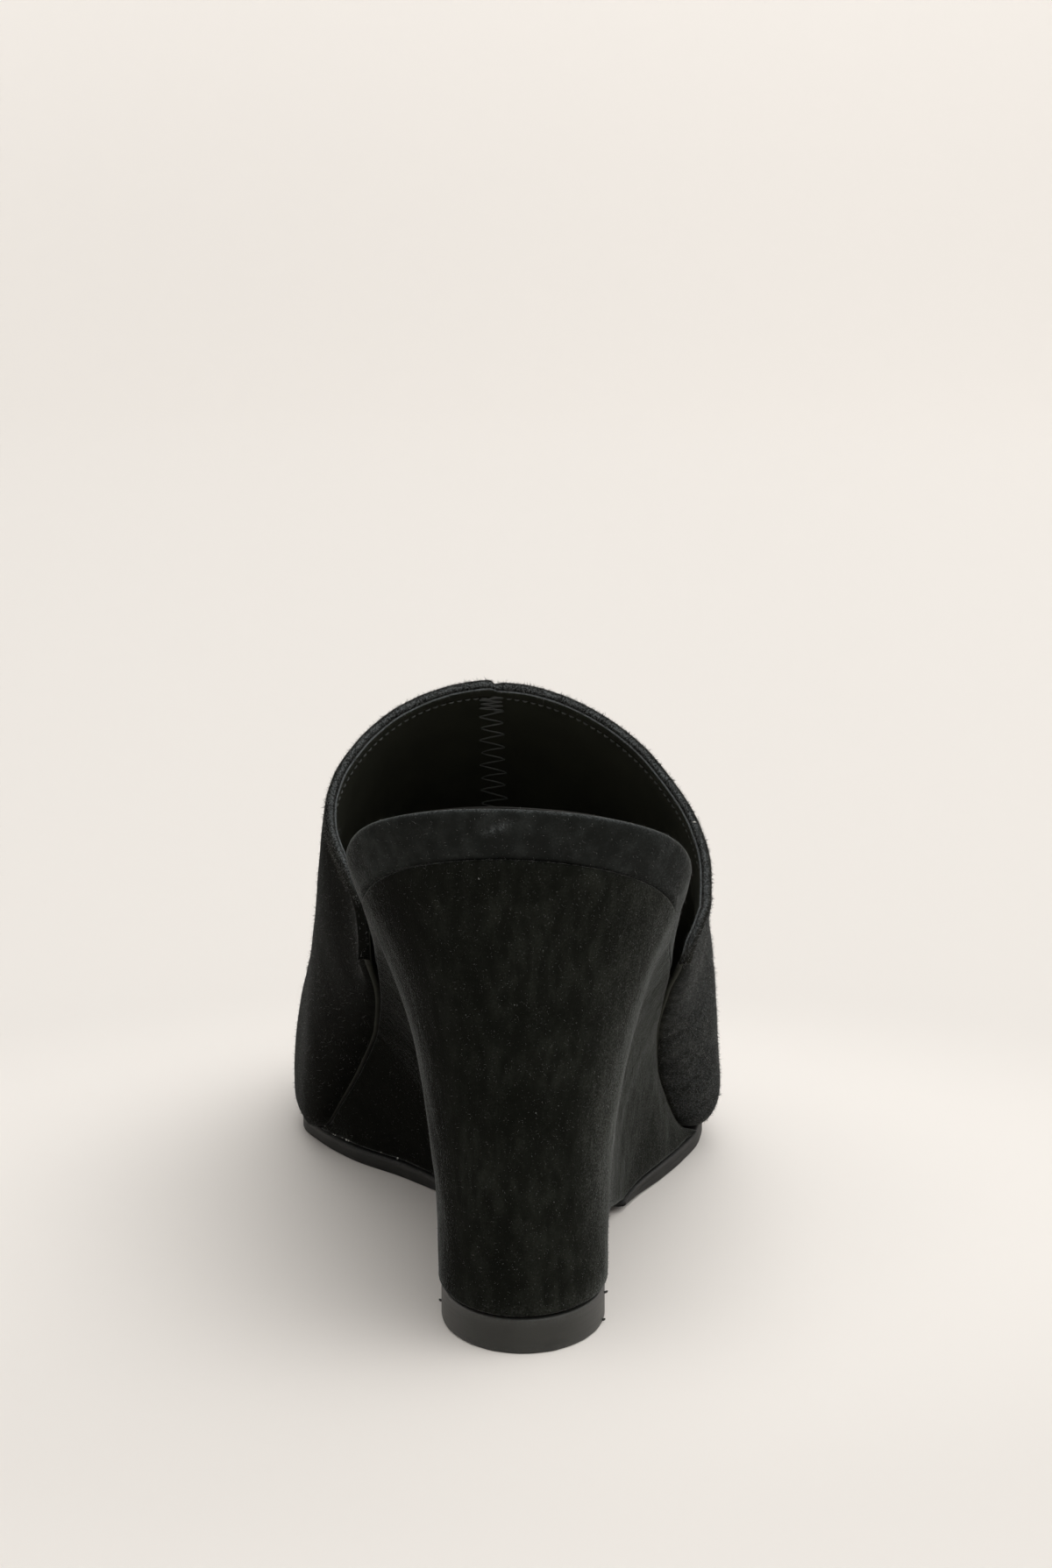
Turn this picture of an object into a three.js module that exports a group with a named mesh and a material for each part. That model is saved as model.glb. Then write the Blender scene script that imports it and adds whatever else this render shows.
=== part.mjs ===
// Women's high wedge mule, right shoe.
// A suede upper closed over the toes and open at the instep and heel, a wrapped insole with a deep
// rim at the heel, a covered wedge, a thin forefoot outsole skived off at the waist, and a heel lift.
//
// Millimetres, +Z up, +Y from heel to toe, +X to the outer (little toe) side of the foot.
// The tables measure y from the back of the heel's base. The finished group is shifted so that the
// origin is the middle of the lift's ground face.

import * as THREE from 'three';
import { LoftGeometry } from 'three/addons/geometries/LoftGeometry.js';
import { mergeVertices } from 'three/addons/utils/BufferGeometryUtils.js';

// ---- Driving dimensions -------------------------------------------------------------------------

const TOE_Y = 232; // foremost point of the upper
const HEEL_OVERHANG = 6; // how far the seat reaches behind the heel's base
const HEEL_LENGTH = 42; // heel base, back to front
const HEEL_ROUND = 25; // depth of the rounded back at the heel's base
const SEAT_ROUND = 34; // depth of the rounded back at the seat
const NOSE_Y = 185; // where the toe starts to round off in plan
const NOSE_POWER = 2.2; // 2 is an ellipse, more is fuller
const CROWN_Y = 200; // where the toe starts to round off in side view
const TOE_TUCK = 2; // the upper's lower edge lies this far behind its foremost point

const WALL = 2.2; // suede, stiffener and lining together
const SOLE = 3; // outsole thickness past the skived end
const LIFT = 6; // heel lift thickness
const GAP = 0.4; // clearance between pieces lying on each other
const INSOLE_PLAY = 0.7; // clearance between the insole's edge and the upper
const LIFT_INSET = 0.5; // the lift lies this far inside the wedge's covered edge
const OUTSOLE_BACK = 90; // skived end of the outsole
const WEDGE_FRONT = 142; // feather end of the wedge under the ball
const LEAN = 1.8; // how late the back of the wedge leans out on the way up
const LEAN_REACH = 70; // the lean has faded out this far forward

// The topline, seen from the side: a shallow curve from the seat up to the middle of the instep.
const TOPLINE = { backY: 66, peakY: 115, peakZ: 99.2, bow: 4 };

// ---- Tables -------------------------------------------------------------------------------------

// Plan of the last. axis is the middle line's x; medial and lateral are half widths from it, at the
// upper's lower edge (foot) and at the underside of wedge and outsole (base).
const PLAN = table('y axis footMedial footLateral baseMedial baseLateral', [
  [-6, -1.1, 32.4, 32.4, 14.0, 15.2],
  [28, -1.1, 32.4, 32.2, 14.0, 15.2],
  [50, -1.0, 31.0, 31.3, 14.0, 15.6],
  [70, -0.8, 29.6, 30.3, 14.0, 16.6],
  [85, -0.8, 28.6, 28.7, 14.4, 18.6],
  [100, -1.2, 29.0, 27.9, 15.0, 22.6],
  [115, -2.2, 31.6, 29.2, 21.4, 29.0],
  [130, -3.6, 35.4, 33.6, 31.2, 35.4],
  [145, -4.8, 38.8, 38.8, 37.5, 40.3],
  [158, -5.5, 40.4, 41.0, 40.9, 42.0],
  [180, -7.2, 37.9, 38.9, 38.7, 39.7],
  [200, -9.0, 34.0, 34.8, 34.8, 35.6],
  [215, -11.0, 30.2, 30.8, 31.0, 31.6],
  [232, -13.5, 24.0, 24.0, 24.8, 24.8],
]);

// The wedge's top in side view. tilt is how much it falls per millimetre towards the outer side,
// inset how far its edge lies inside the upper's lower edge, and flare how late the wedge's sides
// open out on the way up: the higher, the more the side is scooped.
const SEAT = table('y height tilt inset flare', [
  [-6, 84.4, 0.04, 5.0, 2.3],
  [10, 78.6, 0.04, 5.0, 2.3],
  [28, 71.0, 0.04, 5.0, 2.3],
  [50, 61.2, 0.03, 4.4, 3.4],
  [70, 51.4, 0.015, 2.6, 4.2],
  [85, 43.2, 0.0, 1.6, 3.6],
  [100, 33.8, 0.0, 1.3, 2.4],
  [115, 22.6, 0.0, 1.2, 1.5],
  [130, 10.8, 0.0, 1.0, 1.0],
  [137, 5.9, 0.0, 1.0, 1.0],
  [142, 3.9, 0.0, 1.0, 1.0],
  [150, 2.2, 0.0, 1.0, 1.0],
]);

// Underside of the wedge between the heel's base and the outsole: a low arch.
const ARCH = table('y height', [
  [0, LIFT + GAP],
  [HEEL_LENGTH, LIFT + GAP],
  [50, 7.4],
  [58, 7.6],
  [68, 6.3],
  [79, 4.2],
  [OUTSOLE_BACK, 2.5],
]);

// Underside and thickness of the outsole: skived at the waist, flat under the ball, toe spring.
const OUTSOLE = table('y tread thickness', [
  [OUTSOLE_BACK, 1.3, 0.9],
  [100, 0.5, 2.0],
  [110, 0.1, 2.8],
  [118, 0.0, SOLE],
  [178, 0.0, SOLE],
  [195, 1.0, SOLE],
  [210, 2.9, SOLE],
  [225, 5.6, SOLE],
  [232, 7.0, SOLE],
]);

// Insole thickness: a deep rim round the heel that thins out where the upper starts. flare is how
// much wider its top edge is than its lower edge.
const INSOLE = table('y thickness flare', [
  [-6, 9.0, 2.5],
  [10, 9.0, 2.5],
  [30, 8.3, 2.2],
  [50, 7.0, 1.6],
  [64, 5.6, 0.6],
  [70, 4.8, 0.0],
  [90, 3.4, 0.0],
  [110, 3.0, 0.0],
]);

// The upper over the last. wall is the half width where the side stands upright, rise its height
// over the lower edge; ridge is the centre seam's line.
const VAMP = table('y wallMedial riseMedial wallLateral riseLateral ridgeX ridgeZ', [
  [60, 29.9, 16.0, 31.0, 13.0, -6.0, 127.0],
  [70, 30.1, 23.0, 32.8, 19.0, -6.0, 122.0],
  [78, 31.2, 28.0, 35.4, 23.0, -6.0, 118.5],
  [85, 33.9, 30.0, 35.4, 24.0, -6.0, 115.0],
  [93, 37.0, 30.0, 35.4, 24.0, -6.0, 111.4],
  [100, 38.2, 29.0, 35.6, 23.0, -6.0, 107.5],
  [115, 39.2, 22.0, 38.8, 18.0, -6.0, 99.2],
  [130, 40.4, 13.0, 42.0, 12.0, -6.8, 89.2],
  [145, 41.6, 8.0, 44.3, 8.0, -7.6, 77.8],
  [160, 42.7, 5.5, 44.0, 7.0, -8.5, 65.8],
  [180, 39.6, 5.0, 40.8, 6.0, -9.8, 51.0],
  [200, 36.0, 5.0, 37.0, 5.5, -11.2, 39.5],
  [215, 32.0, 5.0, 33.0, 5.0, -12.3, 32.5],
  [232, 25.5, 5.0, 25.5, 5.0, -13.5, 27.0],
]);
const ROUNDNESS = { medial: 2.2, lateral: 1.85 }; // powers of the section's two quarter curves

// ---- Resolution ---------------------------------------------------------------------------------

const ROWS = { vamp: 16, nose: 11, heel: 10 };
const TUCK_STEPS = 3;
const ARCH_STEPS = 15;
const SIDE_STEPS = 8;
const STATION = 6; // spacing of the plain stations
const FIRST_ANGLE = 8; // degrees: how far round a rounded end its first flat strip reaches

// ---- Curves through the tables ------------------------------------------------------------------

/** A table with named columns; the first column is the station. */
function table(names, rows) {
  return { columns: names.split(' '), rows };
}

/** Smooth function through one column of a table, level where the column is level. */
function curve(source, name) {
  const at = source.columns.indexOf(name);
  const stations = source.rows.map((row) => row[0]);
  const values = source.rows.map((row) => row[at]);
  const slopes = stations.map((_, i) => slopeAt(stations, values, i));
  return (station) => {
    const y = THREE.MathUtils.clamp(station, stations[0], stations.at(-1));
    const i = Math.max(0, stations.findLastIndex((s, k) => s <= y && k < stations.length - 1));
    const span = stations[i + 1] - stations[i];
    const t = (y - stations[i]) / span;
    const rise = values[i] * (2 * t ** 3 - 3 * t ** 2 + 1) + values[i + 1] * (3 * t ** 2 - 2 * t ** 3);
    const bend = slopes[i] * (t ** 3 - 2 * t ** 2 + t) + slopes[i + 1] * (t ** 3 - t ** 2);
    return rise + span * bend;
  };
}

/** Slope at a table row: the harmonic mean of its two neighbours, or level at a turn. */
function slopeAt(stations, values, i) {
  const step = (k) => (values[k + 1] - values[k]) / (stations[k + 1] - stations[k]);
  if (i === 0) return step(0);
  if (i === stations.length - 1) return step(i - 1);
  const before = step(i - 1);
  const after = step(i);
  return before * after > 0 ? (2 * before * after) / (before + after) : 0;
}

const axis = curve(PLAN, 'axis');
const foot = { medial: curve(PLAN, 'footMedial'), lateral: curve(PLAN, 'footLateral') };
const base = { medial: curve(PLAN, 'baseMedial'), lateral: curve(PLAN, 'baseLateral') };
const wall = { medial: curve(VAMP, 'wallMedial'), lateral: curve(VAMP, 'wallLateral') };
const rise = { medial: curve(VAMP, 'riseMedial'), lateral: curve(VAMP, 'riseLateral') };
const ridgeX = curve(VAMP, 'ridgeX');
const ridgeZ = curve(VAMP, 'ridgeZ');
const seatHeight = curve(SEAT, 'height');
const seatTilt = curve(SEAT, 'tilt');
const seatInset = curve(SEAT, 'inset');
const sideFlare = curve(SEAT, 'flare');
const archHeight = curve(ARCH, 'height');
const tread = curve(OUTSOLE, 'tread');
const soleThickness = curve(OUTSOLE, 'thickness');
const insoleThickness = curve(INSOLE, 'thickness');
const insoleFlare = curve(INSOLE, 'flare');

const SIGN = { medial: -1, lateral: 1 };
const mix = THREE.MathUtils.lerp;
const radians = THREE.MathUtils.degToRad;

/** 1 along the shoe, closing to 0 at the tip with an upright end. */
function closing(y, from, tip, power) {
  const t = THREE.MathUtils.clamp((y - from) / (tip - from), 0, 1);
  return (1 - t ** power) ** (1 / power);
}

/** 0 at the back, opening to 1 over the depth of a rounded heel. */
function opening(distance, depth) {
  return closing(depth - distance, 0, depth, 2);
}

/** Top of wedge or outsole, whichever carries the upper and the insole there. */
function restHeight(x, y) {
  const wedge = seatHeight(y) - seatTilt(y) * (x - axis(y));
  return GAP + Math.max(wedge, tread(y) + soleThickness(y));
}

/** Underside of the wedge: over the lift, along the arch, then on the outsole. */
function wedgeUnder(y) {
  return y < OUTSOLE_BACK ? archHeight(y) : tread(y) + soleThickness(y) + GAP;
}

// ---- Solids -------------------------------------------------------------------------------------

/** One closed solid from a loft: shared corners joined, collapsed triangles dropped. */
function solid(geometry) {
  const plain = new THREE.BufferGeometry().setIndex(geometry.getIndex());
  plain.setAttribute('position', geometry.getAttribute('position'));
  const welded = mergeVertices(plain, 1e-3);
  const corners = welded.getIndex().array;
  const kept = [];
  for (let i = 0; i < corners.length; i += 3) {
    const [a, b, c] = corners.slice(i, i + 3);
    if (a !== b && b !== c && c !== a) kept.push(a, b, c);
  }
  welded.setIndex(kept);
  welded.computeVertexNormals();
  return welded;
}

/** Loft with flat ends. Each section runs from the medial side over the top to the lateral side. */
function loft(sections) {
  return solid(new LoftGeometry(sections, { capStart: true, capEnd: true }));
}

/** Evenly spaced stations from one y to another, both included. */
function stations(from, to) {
  const count = Math.ceil((to - from) / STATION);
  return Array.from({ length: count + 1 }, (_, i) => mix(from, to, i / count));
}

/** Stations that close in on a rounded toe. */
function noseStations(tip) {
  const angles = Array.from({ length: ROWS.nose }, (_, i) => (90 - FIRST_ANGLE) * ((i + 1) / ROWS.nose));
  return angles.map((angle) => mix(NOSE_Y, tip, Math.sin(radians(angle))));
}

/** Distances from the back that open out over a rounded heel. */
function heelStations(depth) {
  const angles = Array.from({ length: ROWS.heel + 1 }, (_, i) => mix(FIRST_ANGLE, 90, i / ROWS.heel));
  return angles.map((angle) => depth * (1 - Math.cos(radians(angle))));
}

// ---- Upper --------------------------------------------------------------------------------------

/**
 * Places across one section of the upper, medial edge to lateral edge over the ridge.
 * tuck runs 0 to 1 from the lower edge out to the upright wall; turn runs 0 to 90 degrees from
 * there to the ridge.
 */
function placesAcross() {
  const half = [];
  for (let i = 0; i < TUCK_STEPS; i++) half.push({ tuck: i / TUCK_STEPS, turn: 0 });
  for (let i = 0; i <= ARCH_STEPS; i++) half.push({ tuck: 1, turn: (90 * i) / ARCH_STEPS });
  const medial = half.map((place) => ({ ...place, side: 'medial' }));
  const lateral = half.slice(0, -1).reverse().map((place) => ({ ...place, side: 'lateral' }));
  return [...medial, ...lateral];
}

/** Foremost y of one place; inset moves from the outer surface to the lining. */
function tipOf(place, inset) {
  return TOE_Y - inset - TOE_TUCK * (1 - place.tuck);
}

/** Point on the upper's surface at a place and station. */
function upperPoint(place, y, inset) {
  const { side, tuck, turn } = place;
  const tip = tipOf(place, inset);
  const narrow = closing(y, NOSE_Y, tip, NOSE_POWER);
  const low = closing(y, CROWN_Y, tip, NOSE_POWER);
  const middle = axis(y);
  const footHalf = (foot[side](y) - inset) * narrow;
  const wallHalf = (wall[side](y) - inset) * narrow;
  const round = radians(90 * tuck);
  const half = mix(footHalf, wallHalf, Math.sin(round));
  const edgeX = middle + SIGN[side] * half;
  const edgeZ = restHeight(edgeX, y) + rise[side](y) * (1 - Math.cos(round));
  const slope = Math.hypot(1, ridgeZ(y + 1) - ridgeZ(y));
  const topX = mix(middle, ridgeX(y), narrow);
  const topZ = mix(edgeZ, ridgeZ(y) - inset * slope, low);
  const power = 2 / ROUNDNESS[side];
  const across = Math.max(0, Math.cos(radians(turn))) ** power;
  const up = Math.sin(radians(turn)) ** power;
  return new THREE.Vector3(mix(topX, edgeX, across), y, mix(edgeZ, topZ, up));
}

/** Station at which the topline cuts one place's line along the shoe. */
function toplineY(place, inset) {
  const low = restHeight(axis(TOPLINE.backY), TOPLINE.backY);
  let back = 0;
  let front = TOPLINE.peakY + WALL;
  for (let i = 0; i < 40; i++) {
    const y = (back + front) / 2;
    const t = Math.max(0, (upperPoint(place, y, inset).z - low) / (TOPLINE.peakZ - low));
    const cut = mix(TOPLINE.backY, TOPLINE.peakY, t) + 4 * TOPLINE.bow * t * (1 - t);
    if (y < cut) back = y;
    else front = y;
  }
  return (back + front) / 2;
}

/** One line along the shoe, from the topline to the toe. */
function upperLine(place, inset) {
  const tip = tipOf(place, inset);
  const start = toplineY(place, inset);
  const line = [];
  for (let i = 0; i < ROWS.vamp; i++) line.push(mix(start, NOSE_Y, i / ROWS.vamp));
  for (let i = 0; i <= ROWS.nose; i++) line.push(mix(NOSE_Y, tip, Math.sin(radians((90 * i) / ROWS.nose))));
  return line.map((y) => upperPoint(place, y, inset));
}

/** The upper: outer surface and lining in one hollow solid, open below, behind and at the instep. */
function upperGeometry() {
  const places = placesAcross();
  const outside = places.map((place) => upperLine(place, 0));
  const lining = places.map((place) => upperLine(place, WALL)).reverse();
  const lines = [...outside, ...lining];
  const sections = lines[0].map((_, row) => lines.map((line) => line[row]));
  return solid(new LoftGeometry(sections, { capStart: true }));
}

// ---- Insole -------------------------------------------------------------------------------------

/** One section of the insole: lower edge, flared side and rounded shoulder on both sides. */
function insoleSection(y) {
  const tip = TOE_Y - TOE_TUCK - WALL - INSOLE_PLAY;
  const shape = opening(y + HEEL_OVERHANG, SEAT_ROUND) * closing(y, NOSE_Y, tip, NOSE_POWER);
  const thick = insoleThickness(y);
  const flare = insoleFlare(y);
  const shoulder = Math.min(2, thick / 2);
  const profile = [
    { out: -flare, up: 0 },
    { out: -flare * 0.45, up: thick * 0.45 },
    { out: 0, up: thick - shoulder },
    { out: -shoulder * 0.3, up: thick - shoulder * 0.3 },
    { out: -shoulder, up: thick },
  ];
  const edge = (side) => profile.map(({ out, up }) => {
    const half = (foot[side](y) - WALL - INSOLE_PLAY + out) * shape;
    const x = axis(y) + SIGN[side] * half;
    return new THREE.Vector3(x, y, restHeight(x, y) + up);
  });
  return [...edge('medial'), ...edge('lateral').reverse()];
}

/** The insole: rounded at the heel, inside the upper from the waist to the toe. */
function insoleGeometry() {
  const heel = heelStations(SEAT_ROUND).map((distance) => distance - HEEL_OVERHANG);
  const middle = stations(heel.at(-1), NOSE_Y).slice(1);
  const nose = noseStations(TOE_Y - TOE_TUCK - WALL - INSOLE_PLAY);
  return loft([...heel, ...middle, ...nose].map(insoleSection));
}

// ---- Wedge --------------------------------------------------------------------------------------

/** One section of the wedge; at the heel it leans back on the way up. */
function wedgeSection(y) {
  const lean = HEEL_OVERHANG * Math.max(0, 1 - y / LEAN_REACH) ** 2;
  const topY = y - lean;
  const under = wedgeUnder(y);
  const edge = (side) => Array.from({ length: SIDE_STEPS + 1 }, (_, i) => {
    const up = i / SIDE_STEPS;
    const baseHalf = base[side](y) * opening(y, HEEL_ROUND);
    const topHalf = (foot[side](topY) - seatInset(topY)) * opening(y, SEAT_ROUND);
    const level = y - lean * up ** LEAN;
    const middle = mix(axis(y), axis(topY), up);
    const x = middle + SIGN[side] * mix(baseHalf, topHalf, up ** sideFlare(y));
    return new THREE.Vector3(x, level, mix(under, restHeight(x, topY) - GAP, up));
  });
  return [...edge('medial'), ...edge('lateral').reverse()];
}

/** The wedge: rounded column at the heel, undercut waist, feather end under the ball. */
function wedgeGeometry() {
  const heel = heelStations(HEEL_ROUND);
  const block = stations(heel.at(-1), HEEL_LENGTH).slice(1);
  const shank = stations(HEEL_LENGTH, WEDGE_FRONT).slice(1);
  return loft([...heel, ...block, ...shank].map(wedgeSection));
}

// ---- Outsole and lift ---------------------------------------------------------------------------

/** One section of the outsole, its upper edge rounded a little. */
function outsoleSection(y) {
  const shape = closing(y, NOSE_Y, TOE_Y - TOE_TUCK + 1, NOSE_POWER);
  const thick = soleThickness(y);
  const profile = [
    { out: -0.8, up: 0 },
    { out: 0, up: thick * 0.3 },
    { out: 0, up: thick * 0.75 },
    { out: -0.7, up: thick },
  ];
  const edge = (side) => profile.map(({ out, up }) => {
    const half = (base[side](y) + out) * shape;
    return new THREE.Vector3(axis(y) + SIGN[side] * half, y, tread(y) + up);
  });
  return [...edge('medial'), ...edge('lateral').reverse()];
}

/** The forefoot outsole, from its skived end to the toe. */
function outsoleGeometry() {
  const body = [...stations(OUTSOLE_BACK, 118), ...stations(118, 178).slice(1), NOSE_Y];
  return loft([...body, ...noseStations(TOE_Y - TOE_TUCK + 1)].map(outsoleSection));
}

/** The heel lift: a plain slab with the rounded back of the heel's base. */
function liftGeometry() {
  const halfWidth = (base.medial(0) + base.lateral(0)) / 2 - LIFT_INSET;
  const depth = HEEL_ROUND - LIFT_INSET;
  const outline = new THREE.Shape();
  outline.absellipse(0, HEEL_ROUND, halfWidth, depth, Math.PI, 2 * Math.PI);
  outline.lineTo(halfWidth, HEEL_LENGTH - LIFT_INSET);
  outline.lineTo(-halfWidth, HEEL_LENGTH - LIFT_INSET);
  return new THREE.ExtrudeGeometry(outline, { depth: LIFT, bevelEnabled: false, curveSegments: 24 });
}

// ---- Assembly -----------------------------------------------------------------------------------

const suede = (color) => new THREE.MeshStandardMaterial({ color, roughness: 0.95, metalness: 0 });
const rubber = (color) => new THREE.MeshStandardMaterial({ color, roughness: 0.5, metalness: 0 });

/** Adds one named piece to the shoe. */
function add(group, name, geometry, material) {
  const mesh = new THREE.Mesh(geometry, material);
  mesh.name = name;
  group.add(mesh);
  return mesh;
}

const shoe = new THREE.Group();
shoe.position.y = -HEEL_LENGTH / 2;
add(shoe, 'upper', upperGeometry(), suede(0x141416));
add(shoe, 'insole', insoleGeometry(), suede(0x17181a));
add(shoe, 'wedge', wedgeGeometry(), suede(0x151618));
add(shoe, 'outsole', outsoleGeometry(), rubber(0x1b1b1d));
const lift = add(shoe, 'heel_lift', liftGeometry(), rubber(0x202022));
lift.position.x = (base.lateral(0) - base.medial(0)) / 2 + axis(0);

export default shoe;
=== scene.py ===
"""Women's high wedge mule in black suede, right shoe: the looks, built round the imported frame.

Surfaces are worked out in millimetres: y runs from the back of the heel's base towards the toe, x
towards the outer side of the foot and z up from the ground. to_frame() turns them into the frame's
metres. A column is a line along the shoe and a row is a line across it.
"""

import logging
import math
from collections.abc import Callable, Sequence
from dataclasses import dataclass, field
from enum import Enum
from functools import partialmethod
from typing import Any

import bmesh
import bpy
import numpy as np
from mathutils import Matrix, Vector
from mathutils.bvhtree import BVHTree


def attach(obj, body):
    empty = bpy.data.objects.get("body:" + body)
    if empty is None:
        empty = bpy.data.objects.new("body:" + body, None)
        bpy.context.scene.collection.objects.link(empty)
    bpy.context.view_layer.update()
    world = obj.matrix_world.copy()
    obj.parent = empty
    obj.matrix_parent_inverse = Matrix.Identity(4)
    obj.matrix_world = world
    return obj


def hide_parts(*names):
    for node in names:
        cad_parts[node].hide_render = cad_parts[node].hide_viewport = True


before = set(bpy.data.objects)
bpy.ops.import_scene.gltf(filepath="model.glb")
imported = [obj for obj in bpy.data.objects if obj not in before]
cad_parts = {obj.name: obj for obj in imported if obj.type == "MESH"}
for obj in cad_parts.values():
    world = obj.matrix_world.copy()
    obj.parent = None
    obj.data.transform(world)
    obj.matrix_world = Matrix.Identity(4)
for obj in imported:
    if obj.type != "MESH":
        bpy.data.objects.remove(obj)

LOG = logging.getLogger("mule")
Array = np.ndarray
Colour = tuple[float, float, float]
Density = Callable[[Array, Array], Array]
Span = tuple[float, float]
Place = tuple[float, float, float]
Waves = Sequence[tuple[float, float, int]]

MILLIMETRE = 0.001
WELD = 2e-6  # metres: points closer than this are one point
BODY = "root"
SHADE_BLACK = (0.0018, 0.0019, 0.0013)  # painted shade: the deep black put over suede on its shaded inner side
SHADE_SHARE = 0.2  # of the loose fibres and lint that show where shade is painted
SUEDE_DUST = (0.09, 0.094, 0.09)
RUBBER_DUST = (0.075, 0.078, 0.08)


# ---- Lines of the last --------------------------------------------------------------------------

PLAN = ("y axis foot_medial foot_lateral base_medial base_lateral", [
    (-6, -1.1, 32.4, 32.4, 14.0, 15.2),
    (28, -1.1, 32.4, 32.2, 14.0, 15.2),
    (50, -1.0, 31.0, 31.3, 14.0, 15.6),
    (70, -0.8, 29.6, 30.3, 14.0, 16.6),
    (85, -0.8, 28.6, 28.7, 14.4, 18.6),
    (100, -1.2, 29.0, 27.9, 15.0, 22.6),
    (115, -2.2, 31.6, 29.2, 21.4, 29.0),
    (130, -3.6, 35.4, 33.6, 31.2, 35.4),
    (145, -4.8, 38.8, 38.8, 37.5, 40.3),
    (158, -5.5, 40.4, 41.0, 40.9, 42.0),
    (180, -7.2, 37.9, 38.9, 38.7, 39.7),
    (200, -9.0, 34.0, 34.8, 34.8, 35.6),
    (215, -11.0, 30.2, 30.8, 31.0, 31.6),
    (232, -13.5, 24.0, 24.0, 24.8, 24.8),
])
SEAT = ("y seat tilt inset flare", [
    (-6, 84.4, 0.04, 5.0, 2.3),
    (10, 78.6, 0.04, 5.0, 2.3),
    (28, 71.0, 0.04, 5.0, 2.3),
    (50, 61.2, 0.03, 4.4, 3.4),
    (70, 51.4, 0.015, 2.6, 4.2),
    (85, 43.2, 0.0, 1.6, 3.6),
    (100, 33.8, 0.0, 1.3, 2.4),
    (115, 22.6, 0.0, 1.2, 1.5),
    (130, 10.8, 0.0, 1.0, 1.0),
    (137, 5.9, 0.0, 1.0, 1.0),
    (142, 3.9, 0.0, 1.0, 1.0),
    (150, 2.2, 0.0, 1.0, 1.0),
])
ARCH = ("y arch", [
    (0, 6.4),
    (42, 6.4),
    (50, 7.4),
    (58, 7.6),
    (68, 6.3),
    (79, 4.2),
    (90, 2.5),
])
OUTSOLE = ("y tread sole", [
    (90, 1.3, 0.9),
    (100, 0.5, 2.0),
    (110, 0.1, 2.8),
    (118, 0.0, 3.0),
    (178, 0.0, 3.0),
    (195, 1.0, 3.0),
    (210, 2.9, 3.0),
    (225, 5.6, 3.0),
    (232, 7.0, 3.0),
])
INSOLE = ("y board undercut", [
    (-6, 9.0, 2.5),
    (10, 9.0, 2.5),
    (30, 8.3, 2.2),
    (50, 7.0, 1.6),
    (64, 5.6, 0.6),
    (70, 4.8, 0.0),
    (90, 3.4, 0.0),
    (110, 3.0, 0.0),
])
VAMP = ("y wall_medial rise_medial wall_lateral rise_lateral ridge_x ridge_z", [
    (60, 29.9, 16.0, 31.0, 13.0, -6.0, 127.0),
    (70, 30.1, 23.0, 32.8, 19.0, -6.0, 122.0),
    (78, 31.2, 28.0, 35.4, 23.0, -6.0, 118.5),
    (85, 33.9, 30.0, 35.4, 24.0, -6.0, 115.0),
    (93, 37.0, 30.0, 35.4, 24.0, -6.0, 111.4),
    (100, 38.2, 29.0, 35.6, 23.0, -6.0, 107.5),
    (115, 39.2, 22.0, 38.8, 18.0, -6.0, 99.2),
    (130, 40.4, 13.0, 42.0, 12.0, -6.8, 89.2),
    (145, 41.6, 8.0, 44.3, 8.0, -7.6, 77.8),
    (160, 42.7, 5.5, 44.0, 7.0, -8.5, 65.8),
    (180, 39.6, 5.0, 40.8, 6.0, -9.8, 51.0),
    (200, 36.0, 5.0, 37.0, 5.5, -11.2, 39.5),
    (215, 32.0, 5.0, 33.0, 5.0, -12.3, 32.5),
    (232, 25.5, 5.0, 25.5, 5.0, -13.5, 27.0),
])


class Side(Enum):
    """Which side of the foot, as the sign of x."""

    MEDIAL = -1
    LATERAL = 1


class Curve:
    """Smooth line through a table's column, level where the column turns."""

    def __init__(self, stations: Sequence[float], values: Sequence[float]) -> None:
        """Works out the slope at every station.

        Args:
            stations: Where the values stand, rising.
            values: The column.
        """
        self.stations = np.array(stations, float)
        self.values = np.array(values, float)
        steps = np.diff(self.values) / np.diff(self.stations)
        before, after = steps[:-1], steps[1:]
        turns = before * after <= 0
        means = 2 * before * after / np.where(turns, 1, before + after)
        self.slopes = np.concatenate([steps[:1], np.where(turns, 0, means), steps[-1:]])

    def __call__(self, station: Array | float) -> Array:
        """Value at a station, held level past the ends.

        Args:
            station: One or many stations.

        Returns:
            The line's value at each.
        """
        y = np.clip(station, self.stations[0], self.stations[-1])
        i = np.clip(np.searchsorted(self.stations, y, side="right") - 1, 0, len(self.stations) - 2)
        span = self.stations[i + 1] - self.stations[i]
        t = (y - self.stations[i]) / span
        rise = self.values[i] * (2 * t**3 - 3 * t**2 + 1) + self.values[i + 1] * (3 * t**2 - 2 * t**3)
        bend = self.slopes[i] * (t**3 - 2 * t**2 + t) + self.slopes[i + 1] * (t**3 - t**2)
        return rise + span * bend


def lines_of(*tables: tuple[str, list[tuple[float, ...]]]) -> dict[str, Curve]:
    """Curves through every named column of the tables.

    Args:
        tables: Pairs of column names and rows, the first column being the station.

    Returns:
        One curve for each column name.
    """
    lines = {}
    for names, rows in tables:
        stations, *columns = zip(*rows)
        lines.update({name: Curve(stations, column) for name, column in zip(names.split()[1:], columns)})
    return lines


def mix(start: Array | float, end: Array | float, share: Array | float) -> Array:
    """Straight mix of two values."""
    return start + (end - start) * share


def smooth(value: Array | float, low: float, high: float) -> Array:
    """0 up to low, 1 from high on, and an even rise between."""
    t = np.clip((value - low) / (high - low), 0, 1)
    return t * t * (3 - 2 * t)


def hump(distance: Array | float, width: float) -> Array:
    """1 at no distance, fading to nothing over about twice the width."""
    return np.exp(-((distance / width) ** 2))


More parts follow.
